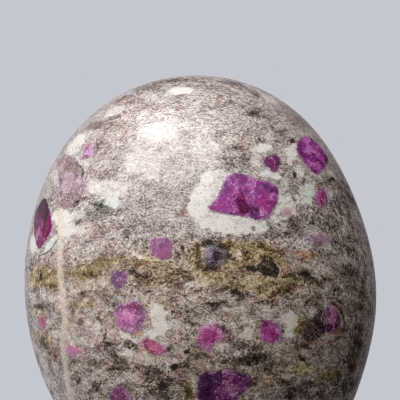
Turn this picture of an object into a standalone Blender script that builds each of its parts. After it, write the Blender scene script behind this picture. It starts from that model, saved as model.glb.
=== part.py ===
"""Ruby in albite: one polished, egg-like free-form stone that stands on a small flat.

Frame: metres, +Z up, the stone's front faces -Y and +X is to the front's right.
The origin is on the resting plane, under the middle of the stone's bounding box.
"""

import math

import bmesh
import bpy
from mathutils import Matrix, Vector

# ---------------------------------------------------------------- driving dimensions (metres, radians)
HALF_WIDTH = 0.0309      # across the front
HALF_DEPTH = 0.0299      # front to back
HALF_LENGTH = 0.0383     # along the stone's own long axis
CENTRE = (0.00002, 0.0005, 0.03635)   # middle of the parent ellipsoid, over the resting plane z = 0
LEAN_LEFT = 0.111        # the long axis leans to -X at the top
LEAN_BACK = 0.020        # and a little away from the front

# Hand lapping leaves broad, shallow swells and flats. Each entry is
# (number of waves round the axis, depth as a fraction of the radius, phase in degrees).
SWELLS_ROUND_FRONT_AXIS = ((3, 0.0070, 144.5), (4, 0.0030, 78.6), (5, 0.0063, -34.8), (6, 0.0038, -49.9))
SWELLS_ROUND_LONG_AXIS = ((3, 0.0075, 90.0), (4, 0.0040, 90.0), (5, 0.0035, -90.0))
SWELLS_ROUND_CROSS_AXIS = ((3, 0.0060, 90.0), (4, 0.0045, -90.0))

ARRIS = 0.0007           # width of the worn edge round the resting flat
SPHERE_STEPS = 5         # subdivisions of the starting icosphere
CUTTER_SIZE = 0.08

NAME = "polished_stone"


def clear_scene():
    for obj in list(bpy.data.objects):
        bpy.data.objects.remove(obj, do_unlink=True)


def collection(name):
    coll = bpy.data.collections.new(name)
    bpy.context.scene.collection.children.link(coll)
    return coll


def swell(p, q, waves, depth, phase):
    """A wave round the axis that p and q are square to; it dies away smoothly at that axis' poles."""
    radius = math.hypot(p, q)
    return depth * radius ** waves * math.cos(waves * math.atan2(q, p) - math.radians(phase))


def stone_radius(d):
    """Distance from the centre to the lapped surface along the unit direction d, in the stone's own frame."""
    ellipsoid = 1.0 / math.sqrt((d.x / HALF_WIDTH) ** 2 + (d.y / HALF_DEPTH) ** 2 + (d.z / HALF_LENGTH) ** 2)
    lapping = 0.0
    for waves, depth, phase in SWELLS_ROUND_FRONT_AXIS:
        lapping += swell(d.x, d.z, waves, depth, phase)
    for waves, depth, phase in SWELLS_ROUND_LONG_AXIS:
        lapping += swell(d.x, d.y, waves, depth, phase)
    for waves, depth, phase in SWELLS_ROUND_CROSS_AXIS:
        lapping += swell(d.z, d.y, waves, depth, phase)
    return ellipsoid * (1.0 + lapping)


def rock_material():
    mat = bpy.data.materials.new("polished_ruby_albite")
    mat.use_nodes = True
    bsdf = mat.node_tree.nodes["Principled BSDF"]
    bsdf.inputs["Base Color"].default_value = (0.29, 0.22, 0.20, 1.0)
    bsdf.inputs["Roughness"].default_value = 0.22
    bsdf.inputs["Metallic"].default_value = 0.0
    bsdf.inputs["IOR"].default_value = 1.54
    return mat


def lapped_body(coll):
    """The whole stone before its flat is ground: a sphere pushed out to the lapped surface."""
    bm = bmesh.new()
    bmesh.ops.create_icosphere(bm, subdivisions=SPHERE_STEPS, radius=1.0)
    for vert in bm.verts:
        direction = vert.co.normalized()
        vert.co = direction * stone_radius(direction)
    lean = Matrix.Rotation(-LEAN_LEFT, 4, "Y") @ Matrix.Rotation(-LEAN_BACK, 4, "X")
    bm.transform(Matrix.Translation(Vector(CENTRE)) @ lean)
    mesh = bpy.data.meshes.new(NAME)
    bm.to_mesh(mesh)
    bm.free()
    mesh.shade_smooth()
    obj = bpy.data.objects.new(NAME, mesh)
    coll.objects.link(obj)
    return obj


def grinding_cutter(coll):
    """A block whose top face is the resting plane."""
    bm = bmesh.new()
    bmesh.ops.create_cube(bm, size=CUTTER_SIZE)
    bm.transform(Matrix.Translation((0.0, 0.0, -CUTTER_SIZE / 2)))
    mesh = bpy.data.meshes.new("flat_cutter")
    bm.to_mesh(mesh)
    bm.free()
    obj = bpy.data.objects.new("flat_cutter", mesh)
    obj.hide_render = True
    obj.display_type = "WIRE"
    coll.objects.link(obj)
    return obj


def main():
    clear_scene()
    parts = collection("ruby_in_albite")
    cutters = collection("cutters")

    stone = lapped_body(parts)
    stone.data.materials.append(rock_material())
    cutter = grinding_cutter(cutters)

    flat = stone.modifiers.new("resting_flat", "BOOLEAN")
    flat.operation = "DIFFERENCE"
    flat.solver = "EXACT"
    flat.object = cutter

    arris = stone.modifiers.new("worn_arris", "BEVEL")
    arris.width = ARRIS
    arris.segments = 2
    arris.limit_method = "ANGLE"
    arris.angle_limit = math.radians(12.0)


main()
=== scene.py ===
"""Looks of the polished ruby in albite stone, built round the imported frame."""

import math

import bpy
import numpy as np
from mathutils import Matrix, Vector


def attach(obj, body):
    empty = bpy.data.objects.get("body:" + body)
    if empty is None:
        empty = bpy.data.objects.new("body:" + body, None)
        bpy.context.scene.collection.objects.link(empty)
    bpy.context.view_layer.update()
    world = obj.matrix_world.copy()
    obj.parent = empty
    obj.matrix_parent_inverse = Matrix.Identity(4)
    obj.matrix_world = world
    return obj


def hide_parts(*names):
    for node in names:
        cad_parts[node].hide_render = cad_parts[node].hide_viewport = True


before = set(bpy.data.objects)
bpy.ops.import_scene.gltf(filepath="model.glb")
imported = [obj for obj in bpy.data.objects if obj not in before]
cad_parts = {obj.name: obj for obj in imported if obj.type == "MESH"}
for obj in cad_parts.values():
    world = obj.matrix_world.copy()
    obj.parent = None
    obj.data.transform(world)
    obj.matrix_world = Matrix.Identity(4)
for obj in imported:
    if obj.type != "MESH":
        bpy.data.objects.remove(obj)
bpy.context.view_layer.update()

# =====================================================================================================
# 1. The lapped surface, as in the CAD (millimetres here; metres only when a mesh is made)
# =====================================================================================================
HALF_WIDTH, HALF_DEPTH, HALF_LENGTH = 30.9, 29.9, 38.3
CENTRE = np.array([0.02, 0.5, 36.35])
LEAN_LEFT, LEAN_BACK = 0.111, 0.020
SWELLS_ROUND_FRONT_AXIS = ((3, 0.0070, 144.5), (4, 0.0030, 78.6), (5, 0.0063, -34.8), (6, 0.0038, -49.9))
SWELLS_ROUND_LONG_AXIS = ((3, 0.0075, 90.0), (4, 0.0040, 90.0), (5, 0.0035, -90.0))
SWELLS_ROUND_CROSS_AXIS = ((3, 0.0060, 90.0), (4, 0.0045, -90.0))
ARRIS_BLEND = 0.30
GRID = 127                       # squares along a cube edge: 6 * 127^2 quads
CROWD = 1.35                     # how much finer the squares are at the front than on the sides


def turn_y(a):
    c, s = math.cos(a), math.sin(a)
    return np.array([[c, 0, s], [0, 1, 0], [-s, 0, c]])


def turn_x(a):
    c, s = math.cos(a), math.sin(a)
    return np.array([[1, 0, 0], [0, c, -s], [0, s, c]])


LEAN = turn_y(-LEAN_LEFT) @ turn_x(-LEAN_BACK)


def unit(v):
    return v / np.maximum(np.linalg.norm(v, axis=-1, keepdims=True), 1e-12)


def swell(p, q, waves, depth, phase):
    return depth * np.hypot(p, q) ** waves * np.cos(waves * np.arctan2(q, p) - math.radians(phase))


def stone_radius(d):
    e = 1.0 / np.sqrt((d[:, 0] / HALF_WIDTH) ** 2 + (d[:, 1] / HALF_DEPTH) ** 2 + (d[:, 2] / HALF_LENGTH) ** 2)
    lap = 0.0
    for n, a, ph in SWELLS_ROUND_FRONT_AXIS:
        lap = lap + swell(d[:, 0], d[:, 2], n, a, ph)
    for n, a, ph in SWELLS_ROUND_LONG_AXIS:
        lap = lap + swell(d[:, 0], d[:, 1], n, a, ph)
    for n, a, ph in SWELLS_ROUND_CROSS_AXIS:
        lap = lap + swell(d[:, 2], d[:, 1], n, a, ph)
    return e * (1.0 + lap)


def level(p):
    """Signed distance along the ray from the centre to the lapped surface."""
    q = (p - CENTRE) @ LEAN
    r = np.linalg.norm(q, axis=1)
    return r - stone_radius(q / r[:, None])


def surface_normal(p, h=0.06):
    g = np.zeros_like(p)
    for i in range(3):
        e = np.zeros(3)
        e[i] = h
        g[:, i] = level(p + e) - level(p - e)
    return unit(g)


# =====================================================================================================
# 2. The camera, at the photograph's place
# =====================================================================================================
CAM_DISTANCE = 350.0
CAM_ELEVATION = math.radians(0.0)
CAM_TARGET = np.array([0.0, 0.0, 37.0])
CAM_AIM = (-0.09, 15.13)          # from the target to the middle of the picture: right, up
FOCAL_PX = 1977.6                # for a picture 400 pixels wide

cam_f = np.array([0.0, math.cos(CAM_ELEVATION), -math.sin(CAM_ELEVATION)])
cam_r = np.array([1.0, 0.0, 0.0])
cam_pos = CAM_TARGET - cam_f * CAM_DISTANCE
aim = CAM_TARGET + CAM_AIM[0] * cam_r + CAM_AIM[1] * np.cross(cam_r, cam_f)
cam_f = unit(aim - cam_pos)
cam_r = unit(np.cross(cam_f, [0, 0, 1.0]))
cam_u = np.cross(cam_r, cam_f)


def project(p):
    d = p - cam_pos
    z = d @ cam_f
    return np.stack([200 + FOCAL_PX * (d @ cam_r) / z, 200 - FOCAL_PX * (d @ cam_u) / z], 1)


def cast(px, py):
    """Points of the lapped surface under these picture points; off the outline, the nearest ones on it."""
    px, py = np.atleast_1d(px).astype(float), np.atleast_1d(py).astype(float)
    d = unit(cam_f + ((px - 200) / FOCAL_PX)[:, None] * cam_r - ((py - 200) / FOCAL_PX)[:, None] * cam_u)
    t = np.full(len(px), CAM_DISTANCE - 60.0)
    best_t, best_l = t.copy(), np.full(len(px), 1e9)
    live = np.ones(len(px), bool)
    for _ in range(220):
        lev = level(cam_pos + t[:, None] * d)
        better = live & (lev < best_l)
        best_l[better], best_t[better] = lev[better], t[better]
        live &= (lev > 0.01) & (t < CAM_DISTANCE + 12.0)
        if not live.any():
            break
        t = np.where(live, t + np.maximum(lev * 0.75, 0.08), t)
    p = cam_pos + best_t[:, None] * d
    q = (p - CENTRE) @ LEAN
    q = unit(q)
    return (q * stone_radius(q)[:, None]) @ LEAN.T + CENTRE


# =====================================================================================================
# 3. Noise in numpy, for shapes and for fields wider than the mesh's squares
# =====================================================================================================
def _hash(ix, iy, iz, seed):
    h = (ix.astype(np.uint32) * np.uint32(374761393)) ^ (iy.astype(np.uint32) * np.uint32(668265263)) \
        ^ (iz.astype(np.uint32) * np.uint32(2147483647)) ^ np.uint32(seed * 974711 + 12345)
    h = (h ^ (h >> np.uint32(13))) * np.uint32(1274126177)
    h = (h ^ (h >> np.uint32(16))) * np.uint32(2246822519)
    return h ^ (h >> np.uint32(15))


_G = np.array([[1, 1, 0], [-1, 1, 0], [1, -1, 0], [-1, -1, 0], [1, 0, 1], [-1, 0, 1], [1, 0, -1], [-1, 0, -1],
               [0, 1, 1], [0, -1, 1], [0, 1, -1], [0, -1, -1]], float)


def noise3(p, seed=0):
    """Gradient noise, about -1 to 1, one cell a unit."""
    with np.errstate(over="ignore"):
        i = np.floor(p).astype(np.int64)
        f = p - i
        w = f * f * f * (f * (f * 6 - 15) + 10)
        out = 0.0
        for dx in (0, 1):
            for dy in (0, 1):
                for dz in (0, 1):
                    h = _hash(i[:, 0] + dx, i[:, 1] + dy, i[:, 2] + dz, seed)
                    g = _G[h % np.uint32(12)]
                    dot = g[:, 0] * (f[:, 0] - dx) + g[:, 1] * (f[:, 1] - dy) + g[:, 2] * (f[:, 2] - dz)
                    wx = w[:, 0] if dx else 1 - w[:, 0]
                    wy = w[:, 1] if dy else 1 - w[:, 1]
                    wz = w[:, 2] if dz else 1 - w[:, 2]
                    out = out + wx * wy * wz * dot
    return out


def fbm(p, seed=0, octaves=3, gain=0.5):
    total, amp, norm = 0.0, 1.0, 0.0
    for o in range(octaves):
        total = total + amp * noise3(p * 2.0 ** o + 17.3 * o, seed + o)
        norm += amp
        amp *= gain
    return total / norm


def ramp(x, lo, hi):
    t = np.clip((x - lo) / (hi - lo), 0, 1)
    return t * t * (3 - 2 * t)


# =====================================================================================================
# 4. The dense stone mesh: a cube sphere pushed out to the lapped surface, with its flat
# =====================================================================================================
def cube_sphere(n):
    g = np.arange(n + 1)
    a, b = np.meshgrid(g, g, indexing="ij")
    a, b = a.ravel(), b.ravel()
    zero, full = np.zeros_like(a), np.full_like(a, n)
    sides = [  # lattice points, in the order of a view from outside: a to the right, b up
        np.stack([a, zero, b], 1), np.stack([full, a, b], 1), np.stack([n - a, full, b], 1),
        np.stack([zero, n - a, b], 1), np.stack([a, b, full], 1), np.stack([a, n - b, zero], 1)]
    cells = [(0, 1), (1, 1), (2, 1), (0, 0), (1, 0), (2, 0)]      # places on a 3 x 2 sheet
    lattice = np.concatenate(sides)
    key = (lattice[:, 0] * (n + 1) + lattice[:, 1]) * (n + 1) + lattice[:, 2]
    _, first, index = np.unique(key, return_index=True, return_inverse=True)
    d = unit(np.tan((2.0 * lattice[first] / n - 1.0) * (math.pi / 4)))
    w = d[:, [0, 2]] / np.maximum(1.0 - d[:, 1:2], 1e-9) / CROWD            # squeezed towards the front, still square
    back = d[:, 1] > 1 - 1e-9
    r2 = (w * w).sum(1)
    d = np.where(back[:, None], d, np.stack([2 * w[:, 0], r2 - 1, 2 * w[:, 1]], 1) / (1 + r2)[:, None])
    i, j = np.meshgrid(np.arange(n), np.arange(n), indexing="ij")
    c = (i * (n + 1) + j).ravel()
    quad = np.stack([c, c + n + 1, c + n + 2, c + 1], 1)
    quads, uvs = [], []
    pad = 0.006
    for s, (cx, cy) in enumerate(cells):
        quads.append(index[quad + s * (n + 1) ** 2])
        u = pad / 2 + cx / 3 + (a / n) * (1 / 3 - pad)
        v = pad / 2 + cy / 2 + (b / n) * (1 / 2 - pad)
        uvs.append(np.stack([u, v], 1)[quad])
    return d, np.concatenate(quads), np.concatenate(uvs).reshape(-1, 2)


dirs, quads, loop_uv = cube_sphere(GRID)
world_dirs = dirs @ LEAN.T
r_egg = stone_radius(dirs)
r_flat = np.where(world_dirs[:, 2] < -1e-3, -CENTRE[2] / np.minimum(world_dirs[:, 2], -1e-3), 1e3)
k = 0.9
h = np.clip(0.5 + 0.5 * (r_flat - r_egg) / k, 0, 1)
radius = r_flat + (r_egg - r_flat) * h - k * h * (1 - h)
P = world_dirs * radius[:, None] + CENTRE
P[r_flat < r_egg - k, 2] = 0.0
NORMAL = surface_normal(P)
on_flat = ramp(r_egg - r_flat, -1.2, 0.2)          # 1 on the ground flat
PX = project(P)
FACING = (NORMAL * unit(cam_pos - P)).sum(1)

# Foliation: the layers rise towards the front and fall a little to the right.
FOLD_UP = unit(np.array([0.045, 0.38, 1.0]))
FOLD_A = unit(np.cross([0, 1.0, 0], FOLD_UP))
FOLD_B = np.cross(FOLD_UP, FOLD_A)
F = np.stack([P @ FOLD_A, P @ FOLD_B, P @ FOLD_UP], 1)


# =====================================================================================================
# 5. Listed marks
# =====================================================================================================
def tangent_frame(c, n):
    t1 = unit(cam_r - n * (cam_r @ n)) if abs(cam_r @ n) < 0.98 else unit(np.cross(n, [0, 0, 1.0]))
    if abs(n[1]) < 0.35 or n[1] > 0:                 # sides and back: "right" is seen from outside
        t1 = unit(np.cross([0, 0, 1.0], n)) if abs(n[2]) < 0.97 else t1
    return t1, np.cross(n, t1)


def chaikin(pts, times=1):
    for _ in range(times):
        nxt = np.roll(pts, -1, 0)
        pts = np.stack([0.78 * pts + 0.22 * nxt, 0.22 * pts + 0.78 * nxt], 1).reshape(-1, 2)
    return pts


def poly_sdf(q, poly):
    """Signed distance from points q to a closed outline, negative inside."""
    d2 = np.full(len(q), 1e18)
    inside = np.zeros(len(q), bool)
    j = len(poly) - 1
    for i in range(len(poly)):
        a, b = poly[j], poly[i]
        e, w = a - b, q - b
        t = np.clip((w @ e) / max(e @ e, 1e-12), 0, 1)
        r = w - t[:, None] * e
        d2 = np.minimum(d2, (r * r).sum(1))
        cross = ((b[1] > q[:, 1]) != (a[1] > q[:, 1]))
        xs = (a[0] - b[0]) * (q[:, 1] - b[1]) / (a[1] - b[1] if abs(a[1] - b[1]) > 1e-12 else 1e-12) + b[0]
        inside ^= cross & (q[:, 0] < xs)
        j = i
    return np.where(inside, -1, 1) * np.sqrt(d2)


wobble = np.stack([fbm(P / 1.3, 11, 2), fbm(P / 1.3, 31, 2), fbm(P / 1.3, 51, 2)], 1)


def local(points, c, n, reach):
    """Vertices within reach of c on its side of the stone, and their tangent-plane coordinates."""
    near = np.where((((P - c) ** 2).sum(1) < reach ** 2) & (NORMAL @ n > 0.05))[0]
    t1, t2 = tangent_frame(c, n)
    d = P[near] - c
    w = wobble[near]
    return near, np.stack([d @ t1, d @ t2], 1), np.stack([w @ t1, w @ t2], 1), np.stack([(points - c) @ t1, (points - c) @ t2], 1)


def outline_field(outline, wob=0.25, reach=3.0, rounds=1):
    """outline: picture points. Returns the near vertices, the distance from the outline and local coordinates, in mm."""
    pts = np.array(outline, float)
    p3 = cast(pts[:, 0], pts[:, 1])
    c = cast(pts[:, 0].mean(), pts[:, 1].mean())[0]
    n = surface_normal(c[None])[0]
    size = np.sqrt(((p3 - c) ** 2).sum(1).max())
    near, q, w, poly = local(p3, c, n, size + reach)
    poly = chaikin(poly, rounds)
    return near, poly_sdf(q + wob * w, poly), q


def ellipse_field(x, y, rx, ry, angle=0.0, wob=0.35):
    """A picture-space ellipse laid on the surface: near vertices, and 0 at its middle to 1 at its edge."""
    a = math.radians(angle)
    ex, ey = (rx * math.cos(a), -rx * math.sin(a)), (ry * math.sin(a), ry * math.cos(a))
    p = cast([x, x + ex[0], x - ex[0], x + ey[0], x - ey[0]], [y, y + ex[1], y - ex[1], y + ey[1], y - ey[1]])
    c, n = p[0], surface_normal(p[:1])[0]
    t1, t2 = tangent_frame(c, n)
    b1, b2 = (p[1] - p[2]) / 2, (p[3] - p[4]) / 2
    m = np.array([[b1 @ t1, b2 @ t1], [b1 @ t2, b2 @ t2]])
    reach = 2.2 * max(np.linalg.norm(b1), np.linalg.norm(b2)) + 0.5
    near, q, w, _ = local(p, c, n, reach)
    ab = (q + wob * w) @ np.linalg.inv(m).T
    return near, np.hypot(ab[:, 0], ab[:, 1])


count = len(P)
FIELDS = {name: np.zeros(count) for name in ("white", "dark", "olive", "rust", "teal", "mauve", "clot", "warm", "light", "pink", "even")}

# kind: marks as (x, y, half width, half height, turn in degrees, strength), picture points
MARKS = {
    "white": [
        (112, 187, 14, 8, -6, .30), (272, 180, 12, 4, 15, .5), (284, 186, 6, 5, 30, .4),
        # upper left
        (114, 111, 12, 4, 28, .55), (120, 117, 8, 3, 25, .35), (180, 90, 14, 4, 4, .85), (152, 96, 10, 2.5, 10, .3),
        (90, 133, 12, 4, 15, .45), (73, 147, 6, 12, -35, .6), (80, 161, 10, 4, -30, .5), (94, 163, 8, 5, 0, .3), (54, 174, 5, 16, 15, .5),
        (112, 133, 14, 2.5, 5, .3), (80, 138, 6, 5, 20, .5),
        # the pale middle: pale rock, partly a painted highlight where the overhead softbox reflects
        (158, 133, 24, 12, 5, .50), (145, 160, 20, 14, 0, .42), (205, 148, 15, 16, 10, .40), (130, 168, 8, 9, 0, .35),
        (196, 125, 18, 7, 0, .30), (160, 174, 20, 5, -5, .30), (180, 150, 14, 8, 0, .22), (150, 178, 12, 3, 0, .35),
        (216, 113, 9, 5, 0, .35), (238, 130, 9, 4, -5, .35), (241, 110, 5, 3, 0, .3),
        # left, under the crystals
        (95, 186, 11, 8, 0, .6), (116, 184, 13, 5, 0, .45), (124, 192, 7, 5, 0, .4), (110, 196, 11, 6, 5, .6),
        (112, 203, 8, 4, 10, .95), (61, 217, 9, 8, 0, .95), (75, 216, 12, 5, 10, .55), (66, 229, 11, 9, 0, .8),
        (84, 229, 15, 6, 5, .5), (33, 244, 4, 9, 0, .8), (50, 245, 7, 3.5, 40, .6), (84, 203, 5, 3, 0, .5),
        (160, 213, 22, 5, 0, .25), (120, 220, 14, 5, 0, .2), (150, 222, 20, 5, 0, .15),
        # round the upper right crystals
        (262, 148, 12, 4, 0, .7), (256, 160, 6, 9, 0, .6), (270, 174, 11, 4, -5, .75), (286, 152, 6, 6, 0, .45),
        (293, 153, 4.5, 11, -18, .85), (301, 170, 5, 8, -45, .6), (309, 195, 6, 12, -18, .65), (303, 186, 7, 4, 0, .4),
        (286, 201, 6, 7, 0, .6), (272, 137, 14, 3, 0, .45), (269, 98, 12, 3, -30, .5), (330, 150, 3, 14, -30, .35),
        # the middle
        (104, 283, 6, 4, 0, .6), (140, 256, 10, 2.5, -20, .7), (160, 260, 14, 2.2, 0, .6), (86, 285, 10, 4, 0, .3),
        (250, 283, 14, 4.5, 0, .50), (230, 268, 9, 5, 0, .40), (200, 281, 14, 5, 4, .50), (255, 276, 6, 2, 0, .3),
        (308, 266, 11, 5, -6, .35), (262, 296, 5, 4, 0, .5), (48, 296, 10, 5, 0, .3), (60, 250, 3, 12, 0, .5),
        (235, 310, 14, 5, 0, .45), (262, 312, 8, 8, 0, .5), (291, 319, 8, 8, 0, .65), (346, 311, 3.5, 11, 5, .4),
        (130, 297, 20, 4, 0, .30), (98, 312, 9, 7, 0, .3), (284, 262, 5, 5, -30, .3),
        # the lower layers
        (158, 316, 8, 13, 5, 1.0), (163, 328, 7, 7, 0, .9), (152, 333, 8, 4, 0, .7), (131, 339, 9, 2.5, -15, .85),
        (119, 334, 10, 4, -12, .55), (96, 326, 10, 4, -5, .5), (141, 357, 20, 6, -5, .55), (121, 352, 9, 4, 0, .4),
        (170, 361, 7, 4, 0, .6), (75, 338, 14, 5, -5, .35), (57, 338, 6, 14, 0, .4), (40, 352, 8, 3.5, -42, .45),
        (234, 335, 6, 10, 0, .45), (247, 333, 7, 8, 0, .7), (222, 346, 9, 4.5, 0, .5), (290, 329, 6, 10, 10, .6),
        (280, 318, 10, 4, 0, .4), (210, 366, 22, 3, 2, .40), (242, 367, 12, 2.6, -8, .35), (205, 318, 10, 3, 0, .3),
        (192, 349, 5, 8, 0, .25), (208, 353, 9, 3, 0, .35), (305, 370, 12, 8, 0, .30), (328, 374, 12, 5, 20, .35),
        (181, 391, 5, 5, 0, .3), (66, 318, 7, 12, 0, .3), (150, 364, 14, 3, -3, .3), (285, 376, 10, 4, 0, .25),
    ],
    "dark": [
        # along the crown
        (168, 81, 34, 2, 8, .7), (148, 89, 12, 3, 10, .7), (159, 89, 5, 2.5, 0, .6), (124, 98, 12, 2.2, 22, .8),
        (138, 100, 7, 2.5, 12, .7), (128, 103, 6, 2.2, 20, .8), (119, 115, 16, 2.2, 26, .6), (95, 125, 9, 5, 18, .95),
        (114, 125, 12, 5, 5, .45), (152, 107, 13, 3, 4, .7), (178, 106, 8, 4, 0, .45), (178, 95, 10, 1.8, 0, .5),
        (178, 86, 8, 1.6, 0, .5), (238, 85, 15, 2.6, -18, .75), (256, 94, 6, 2.2, -30, .8), (251, 101, 7, 4, -20, .5),
        (213, 87, 6, 3, 0, .7), (203, 84, 5, 2.5, 0, .4), (220, 97, 3, 2.5, 0, .8), (231, 102, 3, 2.4, 0, 1.0),
        (222, 106, 6, 3, 0, .6), (210, 107, 8, 2, -15, .5), (236, 105, 8, 3, -15, .4), (187, 117, 6, 4, 0, .35),
        (152, 114, 5, 3, 0, .35), (145, 122, 8, 3, 0, .3),
        # left shoulder
        (124, 138, 6, 2.6, 0, .8), (104, 148, 6, 6, 0, .5), (125, 148, 6, 5, 0, .45), (97, 147, 3, 8, -15, .9),
        (94, 155, 3, 3, 0, .9), (108, 175, 9, 5, 0, .65), (120, 168, 5, 6, 0, .4), (112, 156, 12, 8, 0, .35),
        (96, 172, 6, 4, 0, .3), (106, 135, 8, 7, 0, .35), (86, 130, 5, 3, 20, .4), (53, 172, 4, 8, 20, .35),
        (54, 190, 5, 8, 0, .45), (103, 186, 5, 2.6, 0, .6), (122, 183, 3, 2.4, 0, .6), (127, 188, 2.6, 2.4, 0, .8),
        (116, 190, 5, 2.2, 15, .7), (103, 193, 4, 2.4, 0, .5), (85, 200, 7, 2.2, -5, .7), (76, 204, 4, 2.4, 20, .8),
        (100, 206, 11, 4, -22, 1.0), (93, 217, 8, 6, 0, .6), (76, 222, 6, 3, 5, .9), (120, 212, 9, 3, -10, .5),
        (106, 213, 8, 4, -20, .6), (128, 234, 5, 3, 0, .85), (103, 230, 7, 5, 0, .4), (92, 236, 10, 4, 5, .35),
        # the grey layer, and its tail round the white rim
        (156, 186, 17, 5, 2, .62), (160, 194, 22, 6, 0, .45), (190, 185, 10, 6, 0, .55), (143, 201, 16, 4, 4, .55),
        (132, 207, 14, 3.5, 5, .45), (186, 200, 3.5, 5, 0, .8), (184, 209, 3.5, 5, 0, .7), (194, 190, 4, 5, 0, .7),
        (188, 178, 9, 6, 30, .45), (172, 170, 12, 6, 0, .30), (186, 160, 8, 6, 0, .30), (190, 133, 9, 4, 10, .35),
        (165, 162, 7, 3, 0, .25), (222, 178, 3, 2.2, -45, .8),
        (241, 146, 15, 4, 0, .60), (246, 160, 8, 6, 0, .80), (229, 160, 9, 5, 0, .60), (238, 167, 14, 3, 0, .50),
        (250, 135, 12, 5, 0, .50), (232, 149, 10, 3, 5, .5), (220, 133, 6, 2.8, 0, .65), (209, 136, 6, 2.4, 0, .4),
        (212, 154, 7, 3, 0, .3), (252, 168, 5, 3, 0, .4),
        # right shoulder
        (253, 114, 8, 3, -12, 1.0), (259, 110, 5, 2.2, 0, 1.0), (264, 117, 12, 3, 0, .5), (283, 131, 6, 3, 0, .9),
        (281, 137, 8, 4, -15, .75), (293, 141, 3, 3, 0, 1.0), (262, 141, 6, 2.4, 0, .8), (268, 125, 12, 5, -10, .4),
        (288, 112, 12, 5, -35, .4), (300, 122, 8, 5, -40, .45), (278, 142, 6, 2, -15, .6), (286, 168, 7, 6, 0, .5),
        (295, 175, 3, 2.6, 0, 1.0), (304, 182, 4, 2.6, -20, .8), (333, 179, 3, 2.4, 0, 1.0), (331, 184, 8, 6, 0, .45),
        (294, 191, 4, 9, 0, .75), (279, 204, 2.4, 4, 0, .7), (302, 207, 8, 4, 0, .75), (295, 222, 6, 8, 0, .75),
        (310, 214, 11, 6, 0, .60), (333, 224, 9, 11, 0, .60), (336, 205, 8, 8, 0, .45), (345, 190, 6, 10, 0, .55),
        (351, 202, 5, 10, 0, .60), (337, 240, 8, 7, 0, .55), (350, 245, 8, 14, 0, .60), (288, 233, 3, 3, 0, .8),
        (270, 229, 3, 3, 0, .6), (316, 225, 9, 5, 0, .45), (322, 196, 8, 12, 0, .3), (275, 236, 8, 3, 0, .4),
        (232, 235, 5, 2.6, 0, .7), (246, 236, 6, 2.6, 0, .5), (189, 236, 5, 2.6, 0, .6), (216, 238, 10, 3, 0, .4),
        # the brown layer
        (38, 262, 12, 4, 0, .4), (40, 277, 3.2, 7, 0, .9), (46, 286, 12, 3, 0, .85), (33, 290, 5, 3, 0, .7),
        (39, 307, 9, 2.4, 0, .95), (50, 304, 5, 5, 0, .5), (56, 292, 4, 3, 0, .4), (65, 265, 4, 8, 0, .35),
        (67, 280, 6, 8, 0, .45), (78, 263, 4, 3, 0, .6), (87, 264, 9, 4, 5, .60), (91, 274, 8, 4, -25, .70),
        (80, 272, 7, 4, 0, .5), (99, 261, 8, 2.6, 10, .75), (83, 256, 6, 3, 0, .45), (113, 254, 14, 2.6, 0, .35),
        (92, 293, 10, 2.4, 8, .65), (78, 295, 10, 2.2, 0, .4), (134, 272, 4, 4, 0, .95), (143, 275, 9, 2.2, -3, .75),
        (127, 270, 5, 2.2, 0, .5), (160, 279, 11, 4, 0, .6), (183, 273, 5, 3.5, 0, .8), (188, 279, 5, 4, 0, .9),
        (155, 295, 9, 4, 0, .5), (172, 297, 6, 3, 0, .4), (138, 286, 2.6, 2.6, 0, .6), (145, 243, 3, 4, 0, .75),
        (145, 250, 2.4, 3, 0, .8), (182, 248, 2.8, 2.6, 0, 1.0), (181, 254, 5, 5, 0, .55), (190, 252, 5, 6, 0, .5),
        (208, 243, 9, 3, 4, 1.0), (222, 246, 7, 3.4, -10, 1.0), (197, 252, 3.6, 8, 0, .9), (200, 263, 4, 5, 0, .8),
        (210, 268, 9, 3.6, 0, .85), (227, 256, 3, 6, 0, .7), (232, 257, 3, 2.6, 0, .6), (245, 253, 4, 4, 0, .6),
        (272, 250, 10, 3, -8, .75), (282, 254, 4, 3, 0, .75), (263, 256, 4, 2.4, 0, .8), (290, 275, 7, 2.6, 0, .85),
        (306, 275, 7, 4, 0, 1.0), (314, 281, 5, 3, 0, .7), (322, 283, 6, 4, 0, .85), (331, 277, 12, 3, 0, .55),
        (350, 272, 9, 8, 0, .75), (337, 291, 6, 3.4, 0, .95), (346, 286, 8, 4, 0, .5), (236, 293, 8, 2.8, -15, .95),
        (226, 288, 7, 2.2, 25, .75), (243, 297, 5, 3, 0, .7), (213, 304, 10, 3.6, 0, .95), (225, 303, 5, 4, 0, .5),
        (275, 293, 8, 2.2, 35, .9), (260, 292, 2.2, 6, 0, .6), (270, 284, 7, 3, 0, .7), (286, 291, 9, 4, 10, .85),
        (281, 283, 9, 3, 0, .5), (291, 299, 6, 2.4, 20, .9), (288, 307, 3.5, 2.4, 0, .8), (310, 303, 6, 4, 0, .6),
        (273, 303, 8, 3, 0, .4), (330, 299, 8, 2.2, 5, .4), (200, 290, 12, 2.4, 0, .4), (258, 302, 6, 2.4, 0, .5),
        # the lower layers
        (80, 322, 4, 4, 0, .8), (110, 313, 2.6, 3, 0, .9), (97, 321, 7, 2.6, 0, .5), (172, 314, 2.6, 2.6, 0, .8),
        (185, 309, 11, 4, 0, .65), (180, 318, 8, 5, 0, .4), (104, 333, 3, 5, 10, .9), (113, 331, 6, 2.2, 0, .6),
        (107, 344, 9, 2.8, 0, 1.0), (100, 351, 10, 3, 0, .6), (115, 356, 12, 3.4, -38, 1.0), (125, 344, 6, 3.5, 0, .7),
        (133, 347, 5, 3, 0, .5), (44, 342, 7, 4, -40, 1.0), (52, 356, 4, 8, 0, .7), (61, 366, 4, 8, 0, .5),
        (75, 362, 8, 3, 0, .85), (72, 376, 6, 2.8, 0, .75), (79, 380, 3.4, 2.8, 0, .9), (88, 370, 6, 3, 0, .45),
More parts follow.
